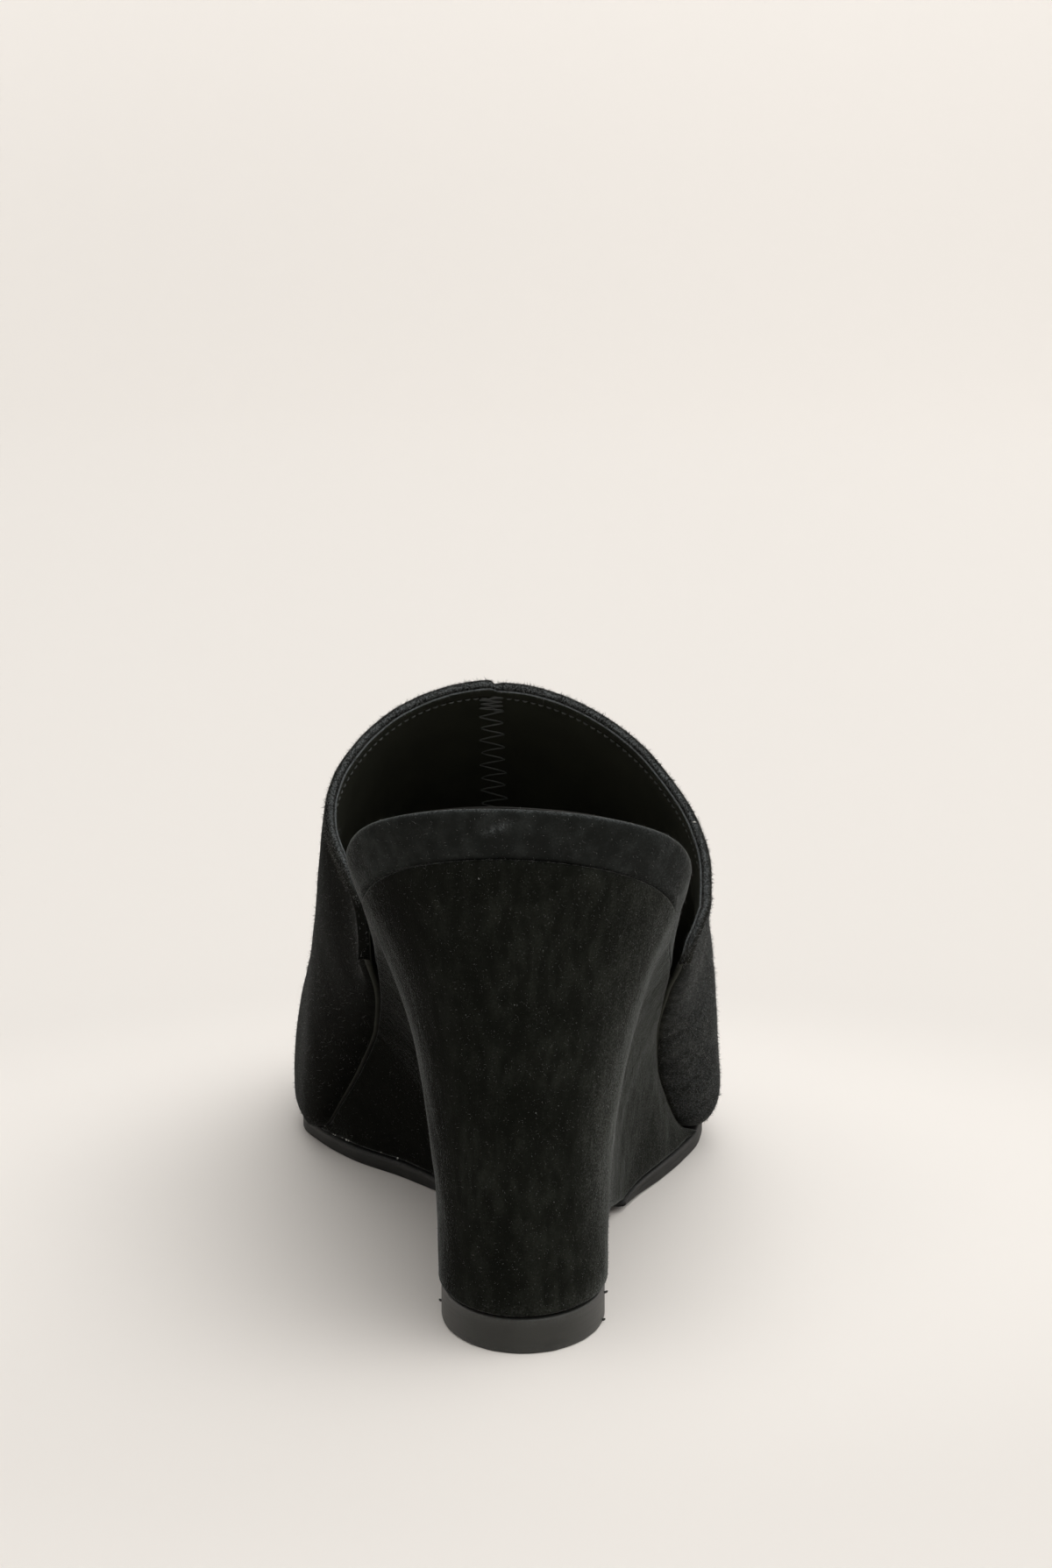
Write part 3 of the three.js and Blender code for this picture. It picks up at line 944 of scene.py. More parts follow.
@dataclass
class Upper(Part):
    """Two suede halves joined down the middle of the vamp, with a folded topline and a lining."""

    topline_back: float = 66.0
    topline_peak: Span = (115.0, 99.2)
    topline_bow: float = 4.0
    halvings: int = 40  # in the search for the topline on each column
    roundness: Span = (2.2, 1.85)  # medial, lateral
    fold_height: float = 0.95  # the folded edge over the cut wall
    fold_share: float = 0.78  # of the wall's thickness; the lining's edge has the rest
    seam_depth: float = 0.5
    seam_width: float = 0.8
    seam_step: float = 0.22  # the medial half stands this much higher at the topline
    seam_offsets: tuple[float, ...] = (0.0, 0.12, 0.28, 0.48, 0.72, 1.0, 1.4, 1.9, 2.6, 3.4, 4.4)
    half_width: float = 40.0  # the seam offsets are measured on a half this wide
    tuck_steps: int = 8
    arch_steps: int = 54
    vamp_rows: int = 110
    nose_rows: int = 26
    fold_rows: int = 11
    stitch_inset: float = 2.7
    stitch_groove: float = 0.14
    waves: Waves = ((0.16, 34, 5), (0.05, 9, 8))
    # How much painted highlight and painted shade the nap takes, and the stretches over which that comes in.
    edge_glow: float = 0.12
    lip_glow: float = 1.3
    flank_glow: float = 0.3
    flank_x: Span = (14.0, 34.0)
    flank_y: Span = (165.0, 130.0)
    flank_shade: float = 0.88
    flank_shade_x: Span = (-20.0, -33.0)
    flank_shade_y: Span = (190.0, 150.0)
    edge_shade: float = 0.97
    crumbs: tuple[Place, ...] = (
        (28.2, 110.0, 28.6),
        (27.6, 104.0, 34.0),
        (31.5, 92.0, 76.0),
        (-38.0, 118.0, 30.0),
        (-44.4, 149.0, 4.2),
        (-42.6, 145.4, 4.2),
        (-41.0, 141.5, 4.3),
        (-39.8, 138.8, 4.3),
        (33.5, 128.0, 19.0),
        (36.0, 112.0, 45.0),
        (34.5, 96.0, 60.0),
    )
    troughs: tuple[Trough, ...] = (
        Trough(Side.LATERAL, (20, 128), (66, 148), 0.45, 4.5),
        Trough(Side.LATERAL, (10, 148), (60, 162), 0.35, 4.0),
        Trough(Side.LATERAL, (34, 104), (58, 122), -0.4, 6.0),
        Trough(Side.MEDIAL, (18, 132), (64, 150), 0.4, 4.5),
        Trough(Side.MEDIAL, (8, 152), (58, 166), 0.3, 4.0),
        Trough(Side.LATERAL, (4, 92), (30, 118), 0.5, 4.5),
        Trough(Side.MEDIAL, (4, 96), (28, 120), 0.4, 5.0),
    )

    def point(self, side: Array, tuck: Array, turn: Array, y: Array, inset: float) -> Array:
        """Point of the surface.

        Args:
            side: -1 medial, 1 lateral.
            tuck: 0 at the lower edge, 1 where the wall stands upright.
            turn: From there 0 to 90 degrees at the seam, in radians.
            y: Station.
            inset: Distance in from the outer surface.

        Returns:
            x, y and z in the last axis.
        """
        last = self.last
        tip = last.toe_y - inset - last.toe_tuck * (1 - tuck)
        narrow = closing(y, last.nose_y, tip, last.nose_power)
        low = closing(y, last.crown_y, tip, last.nose_power)
        middle = last.line("axis", y)
        foot_half = (last.half("foot", side, y) - inset) * narrow
        wall_half = (last.half("wall", side, y) - inset) * narrow
        rounding = tuck * math.pi / 2
        edge_x = middle + side * mix(foot_half, wall_half, np.sin(rounding))
        edge_z = last.rest(edge_x, y) + last.half("rise", side, y) * (1 - np.cos(rounding))
        slope = np.hypot(1, last.line("ridge_z", y + 1) - last.line("ridge_z", y))
        top_x = mix(middle, last.line("ridge_x", y), narrow)
        top_z = mix(edge_z, last.line("ridge_z", y) - inset * slope, low)
        power = 2 / np.where(side < 0, *self.roundness)
        across = np.clip(np.cos(turn), 0, 1) ** power
        upward = np.clip(np.sin(turn), 0, 1) ** power
        return np.stack([mix(top_x, edge_x, across), y + 0 * top_x, mix(edge_z, top_z, upward)], axis=-1)

    def topline(self, side: Array, tuck: Array, turn: Array, inset: float) -> Array:
        """Station at which the topline cuts each column.

        Args:
            side: -1 medial, 1 lateral.
            tuck: 0 at the lower edge, 1 where the wall stands upright.
            turn: From there 0 to 90 degrees at the seam, in radians.
            inset: Distance in from the outer surface.

        Returns:
            One station for each column.
        """
        back = np.zeros(side.shape)
        front = np.full(side.shape, self.topline_peak[0] + self.last.wall)
        for _ in range(self.halvings):
            y = (back + front) / 2
            before = y < self.cut(self.point(side, tuck, turn, y, inset)[..., 2])
            back = np.where(before, y, back)
            front = np.where(before, front, y)
        return (back + front) / 2

    def cut(self, z: Array, most: float = math.inf) -> Array:
        """Station of the topline's bowed line in side view.

        Args:
            z: Heights.
            most: Where the line ends, 1 being its peak.

        Returns:
            The station at each height.
        """
        low_z = self.last.rest(self.last.line("axis", self.topline_back), self.topline_back)
        peak_y, peak_z = self.topline_peak
        t = np.clip((z - low_z) / (peak_z - low_z), 0, most)
        return mix(self.topline_back, peak_y, t) + 4 * self.topline_bow * t * (1 - t)

    def columns(self) -> tuple[Array, Array, Array, Array]:
        """Places the columns round the wall, medial edge first.

        Returns:
            Side, tuck, turn and distance from the seam of every column.
        """
        halves = []
        for side, roundness in zip((-1.0, 1.0), self.roundness):
            tucks = np.linspace(0, 1, self.tuck_steps + 1)[:-1]
            shares = np.array(self.seam_offsets[::-1]) / self.half_width
            near = np.arccos(shares ** (roundness / 2))
            even = np.linspace(0, near[0], self.arch_steps + 1)[:-1]
            turns = np.concatenate([np.zeros(self.tuck_steps), even, near])
            tuck = np.concatenate([tucks, np.ones(len(even) + len(near))])
            far = np.full(self.tuck_steps, 99.0)
            offset = np.concatenate([far, np.cos(even) * self.half_width, self.seam_offsets[::-1]])
            halves.append(np.stack([np.full(len(tuck), side), tuck, turns, offset]))
        return tuple(np.concatenate([halves[0], halves[1][:, -2::-1]], axis=1))

    def stations(self, side: Array, tuck: Array, turn: Array, inset: float) -> Array:
        """Stations of every column's rows, from the toe to just below the folded edge.

        Args:
            side: -1 medial, 1 lateral.
            tuck: 0 at the lower edge, 1 where the wall stands upright.
            turn: From there 0 to 90 degrees at the seam, in radians.
            inset: Distance in from the outer surface.

        Returns:
            Stations, one row for each column.
        """
        last = self.last
        tip = last.toe_y - inset - last.toe_tuck * (1 - tuck)
        start = self.topline(side, tuck, turn, inset) + self.fold_height
        nose = np.sin(arc(90, 0, self.nose_rows))[None, :-1]
        vamp = np.linspace(1, 0, self.vamp_rows + 1)[None, :] ** 1.25
        parts = [mix(last.nose_y, tip[:, None], nose), mix(start[:, None], last.nose_y, vamp)]
        return np.concatenate(parts, axis=1)

    def relief(self, outer: Array, side: Array, turn: Array, offset: Array) -> Array:
        """How far the suede stands off the plain last: creases, a little unevenness, the seam.

        Args:
            outer: The outer surface's points, columns first.
            side: Each column's side.
            turn: Each column's turn.
            offset: Each column's distance from the seam.

        Returns:
            Move of each point, and the same without the seam for the lining.
        """
        along = np.gradient(outer, axis=1)
        across = np.gradient(outer, axis=0)
        normal = unit(np.cross(along, across))
        height = uneven(outer, self.waves)
        degrees = np.degrees(turn)[:, None]
        for trough in self.troughs:
            start, end = np.array(trough.start), np.array(trough.end)
            line = end - start
            reach = (degrees - start[0]) * line[0] + (outer[..., 1] - start[1]) * line[1]
            share = np.clip(reach / (line @ line), 0, 1)
            aside = outer[..., 1] - start[1] - share * line[1]
            fade = np.sin(math.pi * np.clip(share, 0.02, 0.98)) * (side[:, None] == trough.side.value)
            height = height - trough.depth * fade * hump(aside, trough.width)
        ease = smooth(outer[..., 1], self.last.toe_y, self.last.toe_y - 14)
        column, final = np.arange(len(side)), len(side) - 1
        edge = smooth(column, 0, 10) * smooth(column, final, final - 10)
        height = height * ease * edge[:, None]
        valley = self.seam_depth * hump(offset, self.seam_width)[:, None] * ease
        return normal * height[..., None], normal * (height - valley)[..., None]

    def skin(self) -> Skin:
        """The closed wall: outer surface, folded edge and lining in one sheet, lower edges joined.

        Returns:
            The sheet with its marks.
        """
        side, tuck, turn, offset = self.columns()
        place = side[:, None], tuck[:, None], turn[:, None]
        outer_y = self.stations(side, tuck, turn, 0.0)
        inner_y = self.stations(side, tuck, turn, self.last.wall)
        outer = self.point(*place, outer_y, 0.0)
        inner = self.point(*place, inner_y, self.last.wall)
        lining_move, suede_move = self.relief(outer, side, turn, offset)
        rows = outer.shape[1]
        near_top = smooth(np.arange(rows), rows - 26, rows - 1)[None, :]
        step = -self.seam_step * side * hump(offset, 7.0) * (1 - hump(offset, 0.4))
        rise = (step[:, None] * near_top)[..., None] * np.array([0, 0, 1.0])
        outer = outer + suede_move + rise
        groove = hump(np.linalg.norm(inner - inner[:, -1:], axis=-1) - self.stitch_inset, 0.45)
        inward = unit(inner - outer)
        inner = inner + lining_move + rise - inward * self.stitch_groove * groove[..., None]
        rim, rim_highlight = self.rim(outer, inner, offset)
        points = np.concatenate([outer, rim, inner[:, ::-1]], axis=1)
        closing_column = (points[:1] + points[:1, ::-1]) / 2
        closing_last = (points[-1:] + points[-1:, ::-1]) / 2
        points = np.concatenate([closing_column, points, closing_last])
        # Painted highlight along the outer surface just under the topline and on the outer flank, where the
        # light falls.
        edge_glow = self.edge_glow * smooth(np.arange(rows), rows - 7, rows - 1)[None, :]
        flank = self.flank_glow * smooth(outer[..., 0], *self.flank_x) * smooth(outer[..., 1], *self.flank_y)
        highlight_and_dust = np.concatenate([edge_glow + flank, rim_highlight, np.zeros(inner.shape[:2])], axis=1)
        highlight_and_dust = np.pad(highlight_and_dust, ((1, 1), (0, 0)))
        # Painted shade, deep black, over the low inner flank, and over the topline's edge and lining there.
        painted_shade = self.flank_shade * smooth(points[..., 0], *self.flank_shade_x) * smooth(points[..., 1], *self.flank_shade_y)
        painted_shade[:, rows - 4:] = self.edge_shade * self.shaded_inner_flank(points[:, rows - 4:])
        finish = np.zeros(points.shape[:2], int)
        finish[:, rows + rim.shape[1] - 1:] = 1
        return Skin(self.last, points, {"highlight_and_dust": highlight_and_dust, "painted_shade": painted_shade}, finish)

    def rim(self, outer: Array, inner: Array, offset: Array) -> tuple[Array, Array]:
        """Rows over the cut edge: the fold's round bead, a crease, and the lining's own edge.

        Args:
            outer: Points of the outer surface, ending at the edge.
            inner: Points of the lining, ending at the edge.
            offset: Each column's distance from the seam.

        Returns:
            The rows' points and their painted highlight.
        """
        back = unit(outer[:, -1] - outer[:, -3])
        round_off = arc(0, 180, self.fold_rows + 1)[1:]
        bead_across = self.fold_share / 2 * (1 - np.cos(round_off))
        bead_height = self.fold_height * np.sin(round_off) ** 0.75
        bead_height[-1] = -0.2
        small = arc(0, 180, 6)[:-1]
        lip_across = mix(self.fold_share + 0.02, 1.0, (1 - np.cos(small)) / 2)
        lip_height = 0.42 * np.sin(small) ** 0.8 - 0.05
        across = np.concatenate([bead_across, lip_across])
        height = np.concatenate([bead_height, lip_height])
        dip = 1 - 0.3 * hump(offset, self.seam_width)
        points = mix(outer[:, -1][:, None], inner[:, -1][:, None], across[None, :, None])
        points = points + back[:, None] * (height[None, :] * dip[:, None])[..., None]
        # Painted highlight over the bead and strongest on the lining's edge, only high up the rim.
        bead_glow = 0.12 + 0.5 * hump(bead_across / self.fold_share - 0.62, 0.3)
        glow = np.concatenate([bead_glow, np.full(len(lip_across), self.lip_glow)])
        low = np.where(points[..., 0] < 0, smooth(points[..., 2], 60, 68), smooth(points[..., 2], 53, 59))
        return points, glow * low

    def lining_point(self, offset: Array, y: Array) -> tuple[Array, Array]:
        """Points on the lining beside the seam, and the direction into the foot's space.

        Args:
            offset: Distance from the seam, positive to the lateral side.
            y: Stations.

        Returns:
            Points and unit directions.
        """
        side = np.where(offset < 0, -1.0, 1.0)
        power = np.where(side < 0, *self.roundness)
        turn = np.arccos((np.abs(offset) / (self.half_width - 4)) ** (power / 2))
        tuck = np.ones(len(side))
        inset = self.last.wall
        here = self.point(side, tuck, turn, y, inset)
        ahead = self.point(side, tuck, turn, y + 0.5, inset) - here
        inward = unit(np.stack([0 * y, ahead[:, 2], -ahead[:, 1]], axis=-1))
        return here, inward

    def near_topline(self, places: Array, normals: Array) -> Array:
        """Density of the fibres standing on the folded edge and just beside it.

        Args:
            places: Facets' middles in millimetres of the frame.
            normals: Their normals.

        Returns:
            The density at each facet.
        """
        past_cut = places[:, 1] + self.last.heel_length / 2 - self.cut(places[:, 2], 1.0)
        beside = smooth(past_cut, 4.0, 1.0)
        # Few fibres stand where shade is painted on the inner flank.
        return beside * (1 - 0.95 * self.shaded_inner_flank(places))

    @staticmethod
    def shaded_inner_flank(points: Array) -> Array:
        """1 low on the great-toe side, where shade is painted, and 0 elsewhere."""
        return smooth(points[..., 0], -12, -22) * smooth(points[..., 2], 68, 60)

    def build(self) -> None:
        """Builds and dresses the upper."""
        finishes = [self.finishes.upper.material(), self.finishes.lining.material()]
        slot = "suede_upper"
        upper = add_piece("upper_suede", self.skin().sheet(), finishes, ["upper"])
        fibre = self.finishes.fibre.material()
        Nap("upper_nap", 48000, 0.58, 0.095, 11).dress(upper, fibre, slot)
        Nap("topline_nap", 9000, 0.56, 0.095, 17).dress(upper, fibre, slot, self.near_topline)
        crumbs = self.last.to_frame(np.array(self.crumbs))
        Specks("joint_crumbs", 0, 0.17, 18).settle(upper, crumbs, self.finishes.crumb.material())
        Specks("upper_lint", 520, 0.085, 12).dress(upper, self.finishes.lint.material(), slot)


# ---- Insole and sock ----------------------------------------------------------------------------


def section_parts(*parts: Sequence[Array | float]) -> Array:
    """Joins a profile's stretches, each a list of numbers or of values for each column."""
    return np.concatenate([np.stack(np.broadcast_arrays(*part)) for part in parts], axis=1)


def both_sides(one_side: Callable[[float], Sequence[Array]]) -> list[Array]:
    """Joins the two sides' points, and each of their marks, along the middle of the upper face."""
    pairs = zip(one_side(-1.0), one_side(1.0))
    return [np.concatenate([medial, lateral[-2::-1]]) for medial, lateral in pairs]


@dataclass
class Insole(Part):
    """The wrapped board: a deep rounded rim at the heel, thin under the forefoot, and its sock."""

    shoulder: float = 2.4  # radius of the rim's upper edge
    lower_round: float = 1.1
    lower_share: float = 0.13  # of the board's height, taken by the lower edge
    upper_share: float = 0.74  # of the board's height, where the upper edge starts to round
    back_undercut: float = 0.9
    dish: float = 1.3  # how deep the heel seat is cupped
    heel_rows: int = 44
    body_rows: int = 90
    nose_rows: int = 20
    top_columns: int = 22
    sock_inset: float = 4.4
    sock_height: float = 0.8
    sock_round: float = 0.5
    sunk: float = 0.3  # how far the sock's lower edge reaches into the board
    smear: Place = (-4.6, 89.6, 0.47)  # x, z and slope of a pale rub on the rim
    smear_glow: float = 0.45
    edge_glow: float = 0.45  # painted highlight along the rim's upper edge
    outer_glow: float = 0.14  # painted light round the rim's outer back corner
    rim_waves: Waves = ((0.12, 22, 3),)
    sock_waves: Waves = ((0.1, 26, 12),)

    def rows(self) -> tuple[Array, Array, Array]:
        """Spreads the rows from the back of the heel to the toe.

        Returns:
            For every row how far round the heel, along the body and round the toe it is.
        """
        heel, body, nose = self.heel_rows + 1, self.body_rows, self.nose_rows
        around = np.concatenate([arc(0, 90, self.heel_rows), np.full(body + nose, math.pi / 2)])
        along = np.concatenate([np.zeros(heel), np.linspace(0, 1, body + 1)[1:], np.ones(nose)])
        toe = np.concatenate([np.zeros(heel + body), arc(0, 90, nose)[1:]])
        return around, along, toe

    def plan(self, side: float, inset: Array, undercut: Array, spread: Array) -> tuple[Array, Array]:
        """Places in plan of one side's columns.

        Args:
            side: -1 medial, 1 lateral.
            inset: How far inside the edge each column runs.
            undercut: Share of the undercut that each column takes.
            spread: Share of the half width, for columns across the flat faces.

        Returns:
            x and y of every column and row.
        """
        last = self.last
        around, along, toe = (part[None, :] for part in self.rows())
        inset, undercut, spread = inset[:, None], undercut[:, None], spread[:, None]
        behind = inset + undercut * self.back_undercut
        heel_y = mix(last.seat_round, behind, np.cos(around)) - last.heel_overhang
        tip = last.toe_y - last.toe_tuck - last.wall - last.insole_play - inset
        y = np.where(along > 0, mix(last.seat_round - last.heel_overhang, last.nose_y, along), heel_y)
        y = np.where(toe > 0, mix(last.nose_y, tip, np.sin(toe)), y)
        clear = last.wall + last.insole_play + inset + undercut * last.line("undercut", y)
        shape = np.sin(around) * closing(y, last.nose_y, tip, last.nose_power)
        half = (last.half("foot", side, y) - clear) * shape
        return last.line("axis", y) + side * half * spread, y

    def top(self, x: Array, y: Array) -> Array:
        """Height of the board's upper face, cupped under the heel.

        Args:
            x: Places across.
            y: Stations.

        Returns:
            The height at each place.
        """
        half = self.last.half("foot", x, y) - self.sock_inset
        cup = np.clip(1 - ((x - self.last.line("axis", y)) / half) ** 2, 0, 1)
        deep = smooth(y, 92, 40) * mix(0.4, 1.0, smooth(y, -4, 16))
        return self.last.rest(x, y) + self.last.line("board", y) - self.dish * cup * deep

    def board(self) -> Skin:
        """The closed board, from the underside's middle out, up and back in, on both sides.

        Returns:
            The sheet with its marks.
        """
        turn = arc(0, 90, 6)
        rise = np.linspace(0, 1, 9)[1:-1]
        low, high = self.lower_share, self.upper_share
        inset, undercut, height, spread = section_parts(
            (self.lower_round, 1, 0, np.linspace(0, 1, 5)[:-1]),
            (self.lower_round * (1 - np.sin(turn)), 1, low * (1 - np.cos(turn)), 1),
            (0, (1 - rise) ** 1.4, mix(low, high, rise), 1),
            (self.shoulder * (1 - np.cos(turn)), 0, mix(high, 1, np.sin(turn)), 1),
            (self.shoulder, 0, 1, np.linspace(1, 0, self.top_columns + 1)[1:]),
        )
        smear_x, smear_z, smear_slope = self.smear

        def one_side(side: float) -> tuple[Array, Array]:
            """Makes the columns of one side.

            Args:
                side: -1 medial, 1 lateral.

            Returns:
                Their points and their mark of painted highlight and pale rub.
            """
            x, y = self.plan(side, inset, undercut, spread)
            z = mix(self.last.rest(x, y), self.top(x, y), height[:, None])
            points = np.stack([x, y, z], axis=-1)
            proud = uneven(points, self.rim_waves) * hump(height[:, None] - 0.5, 0.5)
            points[..., 0] += side * proud * np.sin(self.rows()[0]) * (spread[:, None] == 1)
            # Painted highlight along the upper edge and painted light round the outer back corner; the smear
            # is a pale rub.
            edge = hump(height[:, None] - 0.96, 0.06) * (spread[:, None] > 0.9) * smooth(y, 110, 60)
            aside = x - smear_x
            smear = hump(aside, 2.8) * hump(z - smear_z - smear_slope * aside, 0.75) * (y < 5)
            outer = smooth(x, 4, 26) * (y < 20)
            return points, self.edge_glow * edge + self.smear_glow * smear + self.outer_glow * outer

        points, highlight_and_dust = both_sides(one_side)
        return Skin(self.last, points, {"highlight_and_dust": highlight_and_dust})

    def sock(self) -> Skin:
        """The thin leather sock lying on the board, its edge rolled down.

        Returns:
            The sheet.
        """
        turn = arc(0, 90, 5)
        rolled = self.sock_height * (1 - np.cos(turn)) - self.sunk * np.cos(turn)
        across = np.linspace(1, 0, self.top_columns + 1)[1:]
        inset, height, spread = section_parts(
            (self.sock_inset, -self.sunk, np.linspace(0, 1, 12)[:-1]),
            (self.sock_inset + self.sock_round * (1 - np.sin(turn)), rolled, 1),
            (self.sock_inset + self.sock_round, self.sock_height, across),
        )

        def one_side(side: float) -> tuple[Array]:
            """Makes the columns of one side.

            Args:
                side: -1 medial, 1 lateral.

            Returns:
                Their points.
            """
            x, y = self.plan(side, inset, 0 * inset, spread)
            points = np.stack([x, y, self.top(x, y) + height[:, None]], axis=-1)
            points[..., 2] += uneven(points, self.sock_waves) * (height[:, None] > 0)
            return (points,)

        return Skin(self.last, both_sides(one_side)[0])

    def build(self) -> None:
        """Builds and dresses the board and the sock."""
        slot = "suede_rim"
        rim = self.finishes.rim.material()
        board = add_piece("insole_rim", self.board().sheet(), [rim], ["insole"])
        add_piece("insole_sock", self.sock().sheet(), [self.finishes.sock.material()])
        Nap("rim_nap", 16000, 0.4, 0.09, 13).dress(board, self.finishes.fibre.material(), slot)
        Specks("rim_lint", 90, 0.09, 14).dress(board, self.finishes.lint.material(), slot)


# ---- Wedge --------------------------------------------------------------------------------------


@dataclass
class Wedge(Part):
    """The covered wedge: a rounded column at the heel, an undercut waist, a feather end."""

    edge_round: float = 1.0
    heel_rows: int = 46
    block_rows: int = 12
    shank_rows: int = 96
    side_steps: int = 44
    face_steps: int = 10
    glue_stations: tuple[float, ...] = (137.4, 136.6, 133.8, 132.2, 131.4, 126.5, 122.0, 117.5)
    glue_height: float = 3.9
    waves: Waves = ((0.22, 30, 21), (0.06, 8, 22))
    # Painted highlight and painted shade on the flanks, and the heights at which the highlight changes.
    outer_glow: float = 0.3
    hollow_glow: float = 0.3
    hollow_z: float = 34.0
    foot_glow: float = 0.2
    foot_z: float = 7.5
    inner_shade: float = 0.85

    def stations(self) -> tuple[Array, Array]:
        """Spreads the rows from the back of the heel to the feather edge.

        Returns:
            Every row's station, and how far round the back it is.
        """
        last = self.last
        around = arc(0, 90, self.heel_rows)
        block = np.linspace(last.heel_round, last.heel_length, self.block_rows + 1)[1:]
        shank = np.linspace(last.heel_length, last.wedge_front, self.shank_rows + 1)[1:]
        y = np.concatenate([last.heel_round * (1 - np.cos(around)), block, shank])
        return y, np.concatenate([around, np.full(len(block) + len(shank), math.pi / 2)])

    def skin(self) -> Skin:
        """The closed wedge, from the underside's middle out, up and back in, on both sides.

        Returns:
            The sheet with its marks.
        """
        last = self.last
        turn = arc(0, 90, 5)
        low, middle, high, inset, spread = section_parts(
            (0, 0, 0, 1, np.linspace(0, 1, self.face_steps + 1)[:-1]),
            (1 - np.cos(turn), 0, 0, 1 - np.sin(turn), 1),
            (1, np.linspace(0, 1, self.side_steps + 1)[1:-1], 0, 0, 1),
            (1, 1, np.sin(turn), 1 - np.cos(turn), 1),
            (1, 1, 1, 1, np.linspace(1, 0, self.face_steps + 1)[1:]),
        )
        low, middle, high, inset, spread = (part[:, None] for part in (low, middle, high, inset, spread))
        y, around = (part[None, :] for part in self.stations())
        lean = last.heel_overhang * np.maximum(0, 1 - y / last.lean_reach) ** 2
        top_y = y - lean
        under = last.wedge_under(y)

        def one_side(side: float) -> tuple[Array, Array, Array]:
            """Makes the columns of one side.

            Args:
                side: -1 medial, 1 lateral.

            Returns:
                Their points, painted highlight mark and painted shade mark.
            """
            base_half = last.half("base", side, y) * opening(y, last.heel_round)
            foot_half = last.half("foot", side, top_y) - last.line("inset", top_y)
            top_half = foot_half * opening(y, last.seat_round)
            top_x = last.line("axis", top_y) + side * top_half
            thick = np.maximum(last.rest(top_x, top_y) - last.gap - under, 0.05)
            rounding = np.minimum(self.edge_round, thick / 4)
            height = rounding * low + (thick - 2 * rounding) * middle + rounding * high
            up = height / thick
            axis = mix(last.line("axis", y), last.line("axis", top_y), up)
            half = mix(base_half, top_half, up ** last.line("flare", y))
            cut = rounding * inset
            x = axis + side * (half - cut * np.sin(around)) * spread
            level = y - lean * up**last.lean_power + cut * np.cos(around)
            tilt = last.line("tilt", top_y) * (x - top_x) * up
            points = np.stack([x, level + 0 * x, under + height - tilt], axis=-1)
            proud = uneven(points, self.waves)
            calm = smooth(up, 0, 0.06) * smooth(up, 1, 0.94) * (spread == 1) * smooth(y, 0, 3)
            points[..., 0] += side * proud * calm
            points[..., 1] -= proud * calm * np.cos(around)
            flank = (x - axis) / np.maximum(half, 1.0) * np.sin(around)
            # Painted shade, deep black, down the inner flank.
            painted_shade = self.inner_shade * smooth(flank, -0.55, -0.97) + 0 * points[..., 0]
            return points, self.highlight_and_dust(flank, points, spread), painted_shade

        points, highlight_and_dust, painted_shade = both_sides(one_side)
        return Skin(last, points, {"highlight_and_dust": highlight_and_dust, "painted_shade": painted_shade})

    def highlight_and_dust(self, flank: Array, points: Array, spread: Array) -> Array:
        """Where a pale highlight is painted on the cover: down its outer flank and in the hollow, where the
        light falls, and along the foot.

        Args:
            flank: Each point's place across, -1 medial to 1 lateral.
            points: The cover's points.
            spread: 1 for the columns round the side.

        Returns:
            The mark of each point.
        """
        y, z = points[..., 1], points[..., 2]
        outer = smooth(flank, 0.45, 0.95)
        hollow = self.hollow_glow * hump(z - self.hollow_z, 16) * outer
        foot = self.foot_glow * hump(z - self.foot_z, 1.6) * smooth(y, 60, 30)
        return (self.outer_glow * outer + hollow + foot) * (spread == 1)

    def build(self) -> None:
        """Builds and dresses the wedge."""
        slot = "suede_wedge"
        suede = self.finishes.wedge.material()
        wedge = add_piece("wedge_cover", self.skin().sheet(), [suede], ["wedge"])
        Nap("wedge_nap", 44000, 0.28, 0.075, 15).dress(wedge, self.finishes.fibre.material(), slot)
        Specks("wedge_lint", 150, 0.085, 16).dress(wedge, self.finishes.lint.material(), slot)
        y = np.array(self.glue_stations)
        x = self.last.line("axis", y) - self.last.line("base_medial", y)
        glue = self.last.to_frame(np.stack([x, y, np.full(len(y), self.glue_height)], axis=-1))
        Specks("glue_crumbs", 0, 0.2, 19).settle(wedge, glue, self.finishes.crumb.material())


# ---- Outsole and heel lift ----------------------------------------------------------------------


